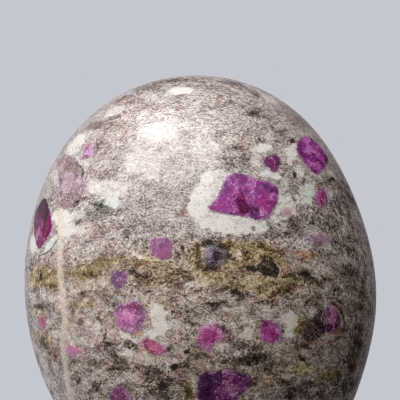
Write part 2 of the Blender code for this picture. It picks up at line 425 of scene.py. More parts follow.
        (96, 385, 6, 3.6, 0, .8), (90, 393, 4, 4, 0, .8), (105, 383, 6, 2.6, 0, .6), (98, 363, 8, 4, 0, .45),
        (130, 371, 7, 2.4, 0, .6), (116, 368, 8, 2.4, 0, .4), (150, 366, 10, 2.4, 0, .6), (157, 371, 9, 3.4, 0, .9),
        (158, 378, 5, 3, 0, .9), (147, 377, 6, 4, 0, .7), (163, 387, 6, 5, 0, 1.0), (150, 391, 7, 4, 0, .7),
        (163, 396, 7, 4, 0, .8), (174, 367, 5, 3, 0, 1.0), (184, 364, 7, 3.4, 0, .8), (170, 378, 8, 4, 0, .5),
        (183, 384, 5, 4, 0, .5), (188, 393, 4, 7, 0, .7), (188, 353, 3.4, 2.8, 0, 1.0), (183, 345, 7, 2.8, 0, .7),
        (172, 338, 6, 5, 0, .5), (170, 346, 4, 4, 0, .5), (205, 356, 7, 3, 0, .75), (219, 362, 12, 2.6, 0, .65),
        (245, 346, 6, 3.4, 0, .85), (256, 348, 8, 3.2, 0, .8), (284, 327, 3, 4, 0, .8), (242, 327, 2.8, 2.8, 0, .9),
        (286, 341, 7, 2.8, 0, .8), (247, 361, 20, 4, -3, .85), (262, 356, 13, 4, 0, .8), (302, 359, 5, 2.8, 0, 1.0),
        (302, 345, 10, 4, 0, .6), (318, 351, 7, 5, 0, .6), (281, 364, 13, 4, 0, .65), (266, 371, 9, 5, 0, .7),
        (310, 384, 9, 3, 0, .95), (295, 389, 7, 4, 0, .85), (282, 382, 9, 3, 0, .6), (290, 397, 9, 4, 0, .9),
        # the dark lower right corner, (320, 396) and (341, 384), and the long strips down the right edge, (355, 350)
        # and (360, 300), are dark rock darkened further with painted shade where the stone turns away from the light
        (320, 396, 22, 5, 0, .95), (341, 384, 14, 9, 0, .85), (355, 350, 7, 26, -12, .75), (345, 330, 8, 10, 0, .5),
        (302, 322, 8, 12, 0, .5), (268, 395, 10, 4, 0, .5), (330, 345, 10, 6, 0, .4), (250, 398, 10, 5, 0, .6),
        (360, 300, 6, 26, 0, .45), (125, 384, 8, 2.4, 0, .5), (140, 397, 8, 4, 0, .4),
    ],
    "olive": [
        (40, 277, 14, 11, 0, 1.0), (36, 313, 8, 6, 0, .6), (80, 272, 9, 6, 0, .6), (92, 270, 11, 6, 0, .8), (109, 261, 18, 4.5, 3, .8),
        (150, 262, 15, 4, -3, .55), (172, 270, 20, 7, 0, .35), (84, 304, 13, 5, 0, .85), (75, 313, 7, 5, 0, .5), (118, 296, 10, 4, 0, .35),
        (142, 283, 30, 8, 0, .25), (42, 339, 10, 6, -30, .8), (198, 254, 8, 13, 0, .8), (222, 246, 9, 5, 0, .7), (233, 246, 9, 6, 0, .7),
        (236, 262, 11, 6, 0, .45), (208, 278, 18, 6, 0, .45), (257, 247, 11, 8, 0, 1.0), (253, 257, 7, 6, 0, 1.0), (277, 259, 9, 4, -35, 1.0),
        (285, 266, 7, 4.5, -35, .9), (272, 251, 12, 4, -8, .7), (268, 260, 7, 6, 0, .6), (266, 283, 13, 5, 0, .8), (268, 294, 12, 6, 0, 1.0),
        (284, 290, 9, 5, 0, .7), (290, 280, 14, 5, 0, .5), (247, 287, 14, 6, 0, .4), (225, 283, 20, 8, 0, .3), (205, 262, 14, 10, 0, .5),
        (238, 311, 16, 6, 0, .4), (302, 325, 8, 14, -8, .9), (350, 272, 9, 9, 0, .5), (316, 282, 10, 5, 0, .4), (305, 369, 13, 8, 0, .9),
        (329, 374, 13, 6, 20, 1.0), (340, 345, 12, 12, 0, .4), (187, 391, 5, 9, 0, .9), (200, 397, 8, 5, 0, .6), (294, 345, 10, 5, 0, .4),
        (262, 385, 10, 8, 0, .4), (308, 266, 12, 5, 0, .3), (96, 163, 8, 5, 0, .25), (345, 312, 5, 12, 0, .3), (150, 385, 18, 9, 0, .3),
        (275, 378, 14, 6, 0, .3), (320, 388, 16, 6, 0, .4),
    ],
    "rust": [
        (308, 254, 12, 4.5, 0, .85), (296, 253, 6, 3, 0, .7), (283, 270, 3, 5, -20, .8), (297, 287, 8, 3, 0, .9), (313, 343, 6, 3, 0, 1.0),
        (184, 208, 3.4, 7, 0, .5), (188, 216, 6, 5, 0, .4), (137, 332, 8, 4, -5, .8), (80, 322, 4, 4, 0, .7), (104, 230, 5, 5, 0, .4),
        (275, 250, 7, 3, 0, .5), (120, 101, 8, 2.4, 26, .45), (246, 346, 5, 3, 0, .5), (232, 257, 4, 3, 0, .5), (72, 304, 4, 3, 0, .6),
        (54, 356, 4, 8, 0, .6), (338, 330, 5, 7, -20, .7), (104, 98, 5, 2.4, 30, .3), (300, 325, 4, 7, 0, .5), (245, 253, 4, 4, 0, .4),
    ],
    "teal": [
        (100, 206, 11, 5, -22, 1.0), (93, 217, 9, 7, 0, .8), (113, 204, 9, 4, 10, .8), (76, 222, 7, 4, 0, .8), (110, 195, 12, 6, 0, .5),
        (68, 280, 7, 9, 0, .6), (52, 245, 8, 5, 40, .9), (309, 195, 8, 12, -15, .7), (268, 174, 11, 4, 0, .6), (196, 204, 7, 7, 0, .5),
        (262, 226, 8, 4, 0, .6), (262, 278, 8, 3, 0, .6), (40, 298, 9, 5, 0, .4), (108, 304, 12, 6, 0, .5), (130, 297, 20, 4, 0, .5),
        (308, 266, 10, 5, 0, .4), (330, 304, 12, 5, 0, .4), (270, 317, 12, 5, 0, .4), (222, 346, 9, 4, 0, .4), (205, 268, 9, 4, 0, .5),
        (197, 252, 4, 7, 0, .5), (240, 367, 12, 3, 0, .4), (92, 314, 7, 6, 0, .4), (232, 172, 10, 3, 0, .4), (185, 165, 14, 10, 0, .3),
        (318, 250, 8, 4, 0, .4), (170, 362, 7, 4, 0, .3),
    ],
    "mauve": [
        (318, 239, 11, 6, 0, .9), (56, 272, 4, 6, 0, .9), (52, 226, 3.6, 7, 0, 1.0), (244, 240, 9, 4, 0, .5), (286, 213, 6, 4, -10, .5),
        (364, 232, 4, 14, 0, .5), (56, 165, 5, 10, 15, .5), (56, 200, 6, 10, 0, .4), (108, 176, 8, 4, 0, .35), (38, 330, 4, 8, 0, .4),
        (208, 300, 12, 4, 0, .25), (180, 338, 8, 5, 0, .4), (214, 305, 9, 4, 0, .4), (140, 383, 8, 3, 0, .3), (60, 372, 8, 12, 0, .3),
        (160, 230, 14, 3, 0, .3), (300, 235, 10, 6, 0, .3), (155, 187, 16, 5, 0, .3),
    ],
    "clot": [
        (268, 271, 9, 6, -10, 1.0), (252, 269, 5.5, 3, 8, 1.0), (266, 259, 6, 4, 0, .6), (275, 273, 3.4, 5, 0, .9), (306, 275, 5, 3, 0, .7),
        (253, 228, 3, 3, 0, 1.0), (209, 243, 7, 2.6, 4, .8), (222, 245, 4, 2.6, 0, .9), (197, 251, 3, 5, 0, .6), (210, 268, 6, 2.6, 0, .6),
        (100, 206, 8, 2.6, -22, .5), (293, 141, 3, 2.6, 0, .8), (166, 350, 2.6, 4, -30, 1.0), (188, 353, 3, 2.4, 0, .8),
        (174, 367, 4, 2.6, 0, .9), (78, 165, 4, 2.6, -35, .8), (82, 172, 2.4, 4, 0, .6), (61, 184, 2.4, 8, 0, .50), (76, 204, 5, 2.4, 20, .6),
        (58, 209, 5, 2.4, 25, .5), (50, 200, 2.4, 3, 0, .5), (222, 329, 4, 5, -45, 1.0), (266, 322, 7, 2.6, 0, .7), (302, 359, 4, 2.6, 0, .8),
        (337, 291, 5, 2.6, 0, .6), (237, 293, 6, 2.2, -15, .6), (213, 304, 8, 2.8, 0, .6), (40, 277, 2.4, 6, 0, .5), (46, 286, 8, 2.2, 0, .5),
        (91, 274, 6, 2.6, -25, .35), (188, 279, 4, 3, 0, .6), (107, 344, 5, 2.4, 0, .7), (163, 387, 5, 3.4, 0, .7), (253, 114, 6, 2.4, -12, .6),
        (182, 248, 2.6, 2.6, 0, .9), (295, 175, 2.6, 2.6, 0, .9), (333, 179, 2.8, 2.4, 0, .8), (39, 307, 7, 2, 0, .6), (290, 397, 8, 3, 0, .6),
    ],
    "warm": [],
    "light": [],
    "pink": [],
}
for kind, marks in MARKS.items():
    field = FIELDS[kind]
    soft = {"clot": 0.45, "white": 0.45, "dark": 0.65}.get(kind, 0.7)
    wob = {"clot": 0.45, "white": 0.8, "dark": 0.7}.get(kind, 0.8)
    for x, y, rx, ry, turn, strength in marks:
        near, e = ellipse_field(x, y, rx, ry, turn, wob)
        v = strength * ramp(e, 1 + soft, 1 - soft) if soft < 1 else strength * ramp(e, 1.8, 0.2)
        field[near] = 1 - (1 - field[near]) * (1 - v)

# The broad areas of the rock: a darker olive-brown band across the belly, a browner foot that is also darkened as
# painted shade, a darker right edge that is painted shade where the stone turns away from the light, cooler grey rock
# on the upper left, a pale pinkish shoulder lightened partly as a painted highlight under the overhead softbox, and
# paler ground low on the left and right of the large ruby.
for kind, x, y, rx, ry, strength in [("olive", 210, 266, 130, 22, .24), ("warm", 205, 280, 160, 44, .6), ("warm", 200, 370, 150, 44, .5),
                                     ("warm", 150, 182, 60, 28, -.35), ("light", 215, 274, 130, 26, -.45), ("light", 200, 382, 150, 30, -.45),
                                     ("light", 350, 320, 20, 80, -.5), ("pink", 150, 120, 90, 30, .4), ("light", 150, 105, 80, 20, .4),
                                     ("light", 110, 338, 50, 20, .5), ("pink", 110, 338, 60, 24, .4), ("light", 310, 205, 26, 24, .4)]:
    near, e = ellipse_field(x, y, rx, ry, 0, .5)
    FIELDS[kind][near] += strength * ramp(e, 1.5, .3)
FIELDS["olive"] = np.minimum(FIELDS["olive"], 1.0)

# Where the grain is softer: the pinkish grey rock on the upper left, the left flank and the right edge.
for x, y, rx, ry, strength in [(150, 170, 60, 50, .7), (70, 310, 34, 90, .8), (345, 300, 22, 90, .5)]:
    near, e = ellipse_field(x, y, rx, ry, 0, .5)
    FIELDS["even"][near] = np.maximum(FIELDS["even"][near], strength * ramp(e, 1.4, .5))

# The white rim of albite round the large ruby, thick to the left and below.
HALO = [(187, 208), (189, 198), (194, 190), (199, 182), (205, 175), (213, 169), (224, 169), (232, 173), (246, 177),
        (262, 181), (276, 187), (284, 193), (292, 199), (296, 206), (295, 214), (288, 220), (276, 225), (268, 231),
        (256, 234), (243, 232), (232, 234), (222, 233), (212, 228), (203, 224), (195, 217)]
near, sd, _ = outline_field(HALO, 0.5)
FIELDS["white"][near] = np.maximum(FIELDS["white"][near], 0.62 * ramp(sd, 0.45, -0.45))
for x, y, rx, ry, turn, strength in [(200, 202, 11, 17, -15, 1.0), (222, 226, 26, 7, -12, 1.0), (250, 228, 22, 5, -2, .75), (208, 178, 10, 7, 40, .75),
                                     (285, 206, 7, 13, 0, .45), (270, 226, 10, 5, 0, .5)]:
    near, e = ellipse_field(x, y, rx, ry, turn, .6)
    FIELDS["white"][near] = np.maximum(FIELDS["white"][near], strength * ramp(e, 1.35, .75))
for x, y, rx, ry, turn, strength in [(196, 204, 5, 4, 0, .30), (284, 212, 9, 3, 10, .45), (278, 190, 8, 3, -30, .35), (268, 180, 14, 2.6, -12, .40),
                                     (246, 174, 12, 2.4, -10, .40), (226, 223, 3, 2.4, 0, .3), (270, 222, 4, 6, 0, .3)]:
    near, e = ellipse_field(x, y, rx, ry, turn, .6)
    FIELDS["white"][near] *= 1 - strength * ramp(e, 1.4, .6)

# Black amphibole: ragged knots, and the broken ring round the grey disc.
KNOTS = [
    ([(247, 266), (252, 265), (256, 267), (260, 264), (262, 261), (267, 260), (272, 261), (276, 265), (279, 270), (278, 276), (273, 277),
      (268, 275), (263, 274), (258, 272), (252, 272), (248, 270)], 1.0),
    ([(262, 258), (264, 255), (269, 255), (273, 258), (273, 263), (263, 263)], .62),
    ([(187, 351), (190, 350), (191, 354), (188, 355)], 1.0), ([(164, 345), (168, 346), (169, 351), (165, 350)], 1.0),
    ([(172, 365), (177, 364), (179, 368), (174, 370)], .62), ([(102, 332), (106, 331), (107, 337), (103, 338)], .5),
]
for outline, strength in KNOTS:
    near, sd, _ = outline_field(outline, 0.5)
    FIELDS["clot"][near] = np.maximum(FIELDS["clot"][near], strength * ramp(sd, .30, -.20))


def polyline_distance(points, wob=0.15):
    """Distance from a line drawn in picture points, laid on the surface, in mm."""
    p = cast([a[0] for a in points], [a[1] for a in points])
    out = np.full(count, 9.0)
    q = P + wob * wobble
    for a, b in zip(p[:-1], p[1:]):
        e = b - a
        t = np.clip(((q - a) @ e) / (e @ e), 0, 1)
        out = np.minimum(out, np.linalg.norm(q - a - t[:, None] * e, axis=1))
    return out


for points, width, strength in [([(74, 158), (78, 163), (82, 170), (82, 176)], .32, .8), ([(60, 178), (60.5, 188)], .28, .8),
                                ([(199, 263), (197, 256), (199, 249)], .60, .42), ([(199, 248), (203, 243), (210, 241), (216, 243)], .75, .50),
                                ([(217, 245), (222, 245), (227, 250)], .60, .52), ([(227, 252), (228, 258), (225, 263)], .5, .40), ([(299, 274), (305, 274), (312, 276)], .70, .60),
                                ([(199, 263), (205, 268), (213, 269)], .6, .42)]:
    FIELDS["clot"] = np.maximum(FIELDS["clot"], strength * ramp(polyline_distance(points, .3), width * 1.3, width * .4))

# =====================================================================================================
# 6. Crystals. Colours are linear reflectance. streak: turn of the inner grain in degrees.
# =====================================================================================================
CRYSTALS = [
    dict(name="large", pts=[(208, 208), (211, 203), (216, 197), (220, 190), (222, 183), (226, 177), (232, 173), (240, 173), (248, 176),
                            (256, 179), (264, 180), (271, 183), (277, 187), (279, 194), (277, 203), (274, 210), (270, 216), (264, 220),
                            (256, 220), (247, 217), (238, 216), (228, 214), (218, 213), (212, 211)],
         a=(.33, .056, .29), b=(.125, .032, .13), soft=0.26, fleck=0.5, dark=.38, streak=35, rim=.5),
    dict(name="pent", pts=[(263, 161), (266, 157), (270, 155), (276, 154.5), (280, 158), (280.5, 163), (278, 168), (276, 173), (272, 172),
                           (269, 168), (264.5, 165)],
         a=(.20, .026, .145), b=(.085, .020, .075), soft=0.22, fleck=0.3, dark=.45, streak=0, rim=.5),
    dict(name="upper_right", pts=[(296, 145), (298, 141), (302, 138), (307, 135.5), (315, 141), (321, 147), (325, 153), (329, 161), (326, 166),
                                  (322, 170), (318, 175), (313, 173), (308, 167), (302, 159), (297, 152)],
         a=(.40, .046, .34), b=(.13, .024, .12), soft=0.28, fleck=0.75, dark=.40, streak=50, rim=.5),
    dict(name="oval", pts=[(316, 190), (319, 187), (324, 188), (327, 195), (327, 203), (322, 207), (318, 205), (315, 198)],
         a=(.37, .09, .28), b=(.17, .035, .13), soft=0.35, fleck=0.4, dark=.4, streak=85, rim=.3),
    dict(name="pale_pink", pts=[(281, 215), (286, 209), (291, 211), (290, 215), (284, 217)],
         a=(.48, .27, .31), b=(.36, .20, .23), soft=.35, fleck=.2, dark=.2, streak=20, rim=0),
    dict(name="faint_mauve", pts=[(311, 237), (320, 233), (329, 236), (327, 243), (318, 245), (312, 243)],
         a=(.38, .245, .315), b=(.18, .12, .155), soft=.7, fleck=.2, dark=.5, streak=0, rim=0),
    dict(name="left_top", pts=[(83, 153), (85, 146), (90, 144), (94, 147), (92, 155), (87, 159), (83, 157)],
         a=(.48, .22, .43), b=(.24, .09, .20), soft=0.6, fleck=1.0, dark=.3, streak=60, rim=0),
    dict(name="altered", pts=[(60, 158), (67, 154), (76, 163), (82, 172), (84, 183), (82, 196), (75, 205), (66, 210), (59, 206),
                              (57, 196), (60, 186), (58, 172)],
         a=(.38, .245, .31), b=(.165, .105, .105), soft=.35, fleck=1.1, dark=.55, streak=82, rim=.6, altered=1),
    dict(name="left_edge", pts=[(35, 213), (40, 203), (45, 197), (48, 203), (50, 212), (52, 222), (51, 231), (47, 239), (42, 247),
                                (38, 250), (36, 243), (34, 230), (34, 220)],
         a=(.185, .003, .115), b=(.030, .003, .028), soft=.16, fleck=0.1, dark=.4, streak=85, rim=.3),
    dict(name="rounded_pink", pts=[(150, 242), (154, 238), (161, 236), (169, 237), (173, 242), (173, 251), (170, 258), (158, 259),
                                   (152, 255), (150, 248)],
         a=(.33, .115, .26), b=(.20, .085, .18), soft=0.42, fleck=0.38, dark=.3, streak=80, rim=0),
    dict(name="violet", pts=[(111, 274), (117, 270), (126, 271), (129, 277), (126, 284), (119, 289), (113, 286), (110, 280)],
         a=(.225, .088, .20), b=(.13, .055, .15), soft=0.5, fleck=0.5, dark=.5, streak=30, rim=0),
    dict(name="pink_purple", pts=[(113, 314), (117, 306), (125, 302), (134, 300), (141, 304), (145, 312), (146, 321), (141, 329),
                                  (131, 333), (124, 332), (117, 325)],
         a=(.62, .23, .50), b=(.30, .125, .29), soft=0.52, fleck=0.85, dark=.5, streak=38, rim=.4),
    dict(name="red_pink", pts=[(140, 340), (147, 336), (153, 340), (162, 345), (166, 350), (162, 355), (154, 357), (148, 352), (142, 347)],
         a=(.50, .135, .28), b=(.28, .075, .16), soft=0.42, fleck=0.65, dark=.4, streak=-20, rim=0),
    dict(name="left_small", pts=[(38, 318), (42, 315), (46, 319), (47, 325), (44, 329), (40, 327)],
         a=(.40, .10, .22), b=(.34, .10, .20), soft=0.5, fleck=0.4, dark=.2, streak=60, rim=0),
    dict(name="pale_wedge", pts=[(65, 346), (69, 343), (76, 348), (85, 351), (77, 354), (70, 356), (66, 352)],
         a=(.55, .21, .36), b=(.46, .20, .29), soft=.35, fleck=0.45, dark=.2, streak=-15, rim=0),
    dict(name="bottom_left", pts=[(109, 402), (110, 394), (113, 389), (118, 386), (126, 388), (131, 394), (132, 402), (128, 409), (116, 410)],
         a=(.26, .064, .185), b=(.15, .045, .13), soft=0.34, fleck=0.6, dark=.45, streak=60, rim=.4),
    dict(name="grey_disc", pts=[(203, 252), (208, 247), (216, 246), (223, 249), (226, 256), (223, 262), (216, 266), (208, 265), (203, 260)],
         a=(.180, .142, .175), b=(.052, .034, .052), soft=0.42, fleck=0.75, dark=.5, streak=0, rim=.8),
    dict(name="pink_core", pts=[(198, 332), (202, 325), (210, 323), (217, 323), (222, 330), (225, 336), (221, 342), (214, 347),
                                (208, 351), (201, 349), (197, 341)],
         a=(.43, .10, .31), b=(.23, .032, .14), soft=0.5, fleck=0.85, dark=.4, streak=25, rim=0),
    dict(name="magenta", pts=[(260, 326), (264, 321), (272, 321), (280, 325), (282, 333), (279, 341), (274, 344), (266, 343), (260, 337)],
         a=(.46, .09, .33), b=(.17, .03, .12), soft=0.32, fleck=0.35, dark=.3, streak=5, rim=.3),
    dict(name="composite_dark", pts=[(301, 333), (305, 326), (310, 319), (317, 311), (323, 306), (327, 312), (327, 325), (325, 333),
                                     (318, 339), (310, 342), (303, 340)],
         a=(.095, .056, .042), b=(.024, .013, .014), soft=0.4, fleck=0.7, dark=.5, streak=55, rim=.4),
    dict(name="composite_purple", pts=[(325, 308), (330, 305), (336, 308), (340, 316), (340, 324), (336, 330), (330, 334), (326, 331),
                                       (324, 320)],
         a=(.33, .11, .25), b=(.11, .035, .09), soft=.2, fleck=0.6, dark=.5, streak=62, rim=.3),
    dict(name="big_dark", pts=[(197, 383), (199, 376), (206, 372), (216, 370), (226, 369), (238, 372), (248, 375), (254, 379), (249, 388),
                               (241, 394), (236, 402), (226, 408), (210, 409), (199, 403), (196, 393)],
         a=(.20, .040, .155), b=(.052, .019, .080), soft=0.28, fleck=0.62, dark=.62, streak=30, rim=.4),
]
# Marks inside crystals: (crystal, kind, x, y, half width, half height, turn, strength)
INNER = [
    ("large", "shade", 253, 210, 6, 6, 0, .35), ("large", "shade", 228, 186, 5, 5, 0, .35), ("large", "shade", 222, 193, 4, 5, 0, .3),
    ("large", "hot", 266, 202, 9, 9, 30, 1.0), ("large", "hot", 218, 206, 10, 6, 0, .7),
    ("large", "hot", 229, 197, 7, 8, 0, .4), ("large", "pale", 246, 183, 14, 6, -10, .40), ("large", "pale", 236, 179, 8, 4, 0, .35),
    # (246, 199): the thin pale line in the large ruby is a painted glint on a fracture
    ("large", "pale", 256, 197, 8, 7, 0, .40), ("large", "pale", 246, 199, 1.6, 4, 10, 1.0), ("large", "pale", 262, 215, 8, 3, 20, .35),
    ("large", "shade", 266, 185, 4, 2.6, 0, .9), ("large", "shade", 266, 217, 3, 3, 0, .7), ("large", "shade", 274, 190, 4, 4, 0, .4),
    ("large", "shade", 276, 204, 2, 8, 10, .8), ("large", "pale", 235, 210, 3, 3, 0, .3),
    ("upper_right", "shade", 298, 147, 4, 5, 0, .9), ("upper_right", "shade", 316, 173, 5, 4, 0, .6), ("upper_right", "shade", 322, 160, 4, 5, 0, .4),
    ("upper_right", "pale", 307, 161, 3, 6, -35, .5), ("upper_right", "pale", 317, 143, 5, 2, -40, .5), ("upper_right", "hot", 320, 158, 7, 10, -30, .5),
    ("left_edge", "shade", 43, 205, 7, 11, -20, 1.0), ("left_edge", "hot", 43, 226, 7, 14, 0, .9), ("left_edge", "pale", 38, 234, 3, 6, 0, .6),
    ("left_edge", "pale", 50, 216, 2, 8, 0, .3),
    ("rounded_pink", "shade", 160, 239, 11, 3, 0, .45), ("rounded_pink", "hot", 160, 253, 9, 5, 0, .3),
    ("violet", "shade", 118, 284, 7, 4, 0, .4), ("violet", "hot", 124, 276, 6, 5, 0, .2),
    ("pink_purple", "shade", 130, 305, 14, 4, 0, .8), ("pink_purple", "shade", 142, 324, 5, 6, 0, .7), ("pink_purple", "shade", 134, 327, 5, 4, 0, .5),
    ("pink_purple", "hot", 128, 317, 10, 7, 30, .5), ("pink_purple", "pale", 122, 313, 6, 6, 0, .3),
    ("red_pink", "hot", 156, 347, 7, 5, 0, .8), ("red_pink", "shade", 146, 343, 5, 4, 0, .3), ("red_pink", "hot", 154, 355, 6, 2, 0, .6),
    ("pink_core", "hot", 209, 335, 11, 6, 0, 1.0), ("pink_core", "shade", 211, 336, 7, 5, 0, .6), ("pink_core", "shade", 222, 326, 4, 4, 0, .9), ("pink_core", "pale", 206, 325, 9, 3, 0, .6), ("pink_core", "pale", 208, 347, 9, 4, 0, .5),
    ("pink_core", "pale", 221, 333, 3, 7, 30, .6), ("magenta", "shade", 269, 323, 9, 2.5, -4, 1.0), ("magenta", "hot", 269, 332, 7, 4, 0, .9),
    ("magenta", "pale", 270, 327, 7, 1.2, 0, .6), ("magenta", "shade", 263, 340, 4, 4, 0, .3),
    ("composite_purple", "pale", 326, 316, 1.6, 9, 6, 1.0), ("composite_purple", "shade", 332, 327, 6, 5, 0, .6),
    ("composite_purple", "hot", 336, 314, 4, 6, 0, .4), ("composite_dark", "hot", 313, 342, 6, 3, 0, .3),
    ("big_dark", "shade", 205, 386, 9, 14, 0, .85), ("big_dark", "shade", 243, 378, 9, 6, 0, .4), ("big_dark", "hot", 232, 383, 16, 8, -15, .55), ("big_dark", "shade", 248, 381, 5, 5, 0, .4),
    ("big_dark", "pale", 228, 396, 14, 2, 15, .4), ("bottom_left", "hot", 120, 394, 7, 5, 0, .4), ("grey_disc", "pale", 208, 256, 5, 7, 0, .5),
    ("grey_disc", "shade", 219, 257, 6, 5, 0, .4), ("altered", "pale", 68, 190, 6, 15, 0, .5), ("altered", "shade", 69, 162, 9, 8, 0, .95),
    ("altered", "shade", 80, 196, 4, 10, 0, .6), ("altered", "shade", 62, 205, 5, 5, 0, .4),
]

RUBY_SD = np.full(count, 9.0)
RUBY_A = np.tile([.34, .08, .28], (count, 1))
RUBY_B = np.tile([.12, .03, .11], (count, 1))
RUBY_PAR = np.zeros((count, 3))          # fleck, dark, edge softness
RUBY_UV = np.zeros((count, 3))           # grain coordinates, mm, and the crystal's own number
RUBY_IN = np.zeros((count, 3))           # shade, hot, pale
RUBY_KIND = np.zeros(count)              # 1 = altered
RIM = np.zeros(count)


def put_crystal(near, sd, q, spec, number):
    closer = sd < RUBY_SD[near]
    idx = near[closer]
    RUBY_SD[idx] = sd[closer]
    RUBY_A[idx], RUBY_B[idx] = spec["a"], spec["b"]
    RUBY_PAR[idx] = (spec["fleck"], spec["dark"], spec["soft"])
    a = math.radians(spec["streak"])
    u = q[closer, 0] * math.cos(a) + q[closer, 1] * math.sin(a)
    v = -q[closer, 0] * math.sin(a) + q[closer, 1] * math.cos(a)
    RUBY_UV[idx] = np.stack([u, v, np.full(len(u), number * 7.31)], 1)
    RUBY_KIND[idx] = spec.get("altered", 0)
    RIM[idx] = spec.get("rim", 0)
    RUBY_IN[idx] = 0
    return idx


owner = np.full(count, -1)
for number, spec in enumerate(CRYSTALS):
    near, sd, q = outline_field(spec["pts"], 0.22 if spec["soft"] < .3 else 0.5, 3.0)
    idx = put_crystal(near, sd, q, spec, number + 1)
    owner[idx] = number
names = {spec["name"]: i for i, spec in enumerate(CRYSTALS)}
for crystal, kind, x, y, rx, ry, turn, strength in INNER:
    near, e = ellipse_field(x, y, rx, ry, turn, 0.5)
    mine = owner[near] == names[crystal]
    near, e = near[mine], e[mine]
    c = {"shade": 0, "hot": 1, "pale": 2}[kind]
    RUBY_IN[near, c] = np.maximum(RUBY_IN[near, c], strength * ramp(e, 1.5, 0.55))

# Parts of crystals with a drawn outline: (crystal, kind, outline, softness, strength)
INNER_SHAPES = [
    ("large", "shade", [(238, 186), (241, 192), (245, 196), (247, 203), (250, 209), (247, 215), (241, 215), (237.5, 211), (237, 200)], .22, 1.0),
    ("large", "hot", [(238, 186), (241, 192), (245, 196), (247, 203), (250, 209), (247, 215), (241, 215), (237.5, 211), (237, 200)], .3, .9),
    ("large", "pale", [(249, 190), (256, 186), (265, 190), (268, 197), (262, 204), (254, 205), (249, 198)], .3, .35),
    ("upper_right", "shade", [(296, 143), (303, 139), (306, 143), (304, 149), (301, 156), (297, 153)], .3, .8),
    ("oval", "shade", [(319, 194), (323, 194), (324, 200), (322, 204), (319, 202)], .4, .35),
    ("oval", "hot", [(319, 192), (324, 192), (325, 202), (322, 206), (319, 202)], .3, .8),
    ("magenta", "shade", [(261, 325), (265, 321), (273, 321), (281, 325), (279, 327), (270, 325), (262, 328)], .2, 1.0),
    ("pink_purple", "shade", [(115, 309), (122, 303), (133, 301), (140, 305), (143, 313), (138, 311), (130, 308), (121, 309), (116, 314)], .3, .75),
    ("pent", "shade", [(263, 160), (267, 157), (269, 160), (267, 165), (264, 163)], .3, .5),
]
for crystal, kind, outline, fade, strength in INNER_SHAPES:
    near, d, _ = outline_field(outline, 0.15)
    mine = owner[near] == names[crystal]
    near, d = near[mine], d[mine]
    c = {"shade": 0, "hot": 1, "pale": 2}[kind]
    RUBY_IN[near, c] = np.maximum(RUBY_IN[near, c], strength * ramp(d, fade, -fade))

# Crystals on the sides, the top and the back, which the photograph doesn't show: seeded, and kept clear of the front.
rng = np.random.default_rng(20)
PALETTES = [
    dict(a=(.34, .070, .29), b=(.11, .025, .11), soft=.16, fleck=.5, dark=.4, rim=.5),
    dict(a=(.25, .055, .20), b=(.06, .018, .06), soft=.2, fleck=.4, dark=.6, rim=.4),
    dict(a=(.55, .10, .38), b=(.24, .04, .16), soft=.22, fleck=.4, dark=.35, rim=.3),
    dict(a=(.58, .22, .43), b=(.28, .11, .25), soft=.28, fleck=.6, dark=.45, rim=.2),
    dict(a=(.62, .28, .38), b=(.45, .18, .28), soft=.35, fleck=.3, dark=.25, rim=0),
    dict(a=(.36, .15, .31), b=(.21, .09, .24), soft=.4, fleck=.3, dark=.5, rim=0),
]
placed = [cast(np.mean([p[0] for p in s["pts"]]), np.mean([p[1] for p in s["pts"]]))[0] for s in CRYSTALS]
sizes = [0.0885 * (max(p[0] for p in s["pts"]) - min(p[0] for p in s["pts"])) for s in CRYSTALS]
side_specs = []
tries = 0
BIG = [5.6, 4.8, 4.2, 3.9, 3.6, 3.3, 3.1]
while len(side_specs) < 46 and tries < 6000:
    tries += 1
    i = rng.integers(count)
    c, n = P[i], NORMAL[i]
    size = BIG[len(side_specs)] if len(side_specs) < len(BIG) else 0.9 + 1.9 * rng.random() ** 1.6
    if c[2] < 1.0 + size * 0.4 and on_flat[i] < 0.5 and c[2] < 2.5:
        continue
    edge = FACING[i] * 30.0
    if FACING[i] > 0.0 and not (PX[i, 1] > 412 + size * 6):
        continue
    if FACING[i] > -0.14 - size * 0.035 and PX[i, 1] < 412:
        continue
    if any(np.linalg.norm(c - o) < 1.5 * (size + s) + 1.6 for o, s in zip(placed, sizes)):
        continue
    placed.append(c)
    sizes.append(size)
    m = int(rng.integers(6, 10))
    ang = np.sort((np.arange(m) + rng.uniform(-.28, .28, m)) * 2 * math.pi / m)
    rad = size * rng.uniform(.78, 1.12, m)
    squeeze, turn = rng.uniform(.55, .95), rng.uniform(-35, 35)
    poly = np.stack([rad * np.cos(ang), rad * np.sin(ang) * squeeze], 1)
    t = math.radians(turn)
    poly = poly @ np.array([[math.cos(t), math.sin(t)], [-math.sin(t), math.cos(t)]])
    pal = dict(PALETTES[int(rng.integers(0, 3)) if size > 3 else int(rng.integers(0, len(PALETTES)))])
    pal["streak"] = float(rng.uniform(-60, 80))
    near, q, w, _ = local(P[:1], c, n, size * 1.25 + 3.0)
    sd = poly_sdf(q + 0.25 * w, chaikin(poly, 1))
    idx = put_crystal(near, sd, q, pal, 40 + len(side_specs))
    for kind in (0, 1, 2):                            # shaded, hot and pale parts
        off = rng.uniform(-.5, .5, 2) * size
        e = np.hypot(q[:, 0] - off[0], (q[:, 1] - off[1]) * 1.4) / (size * rng.uniform(.4, .7))
        sel = np.isin(near, idx)
        RUBY_IN[near[sel], kind] = np.maximum(RUBY_IN[near[sel], kind], (.9, .6, .5)[kind] * ramp(e[sel], 1.5, .5))
    width = rng.uniform(.5, 1.0) * (1 if size > 1.8 else .6)
    lift = ramp(sd + 0.55 * w[:, 0] + 0.25 * fbm(P[near] / 2.5, 77, 2), size * .45 * width + .5, 0.0) * rng.uniform(.55, 1.0)
    FIELDS["white"][near] = np.maximum(FIELDS["white"][near], lift)
    side_specs.append(pal)
print("side crystals", len(side_specs), "tries", tries)

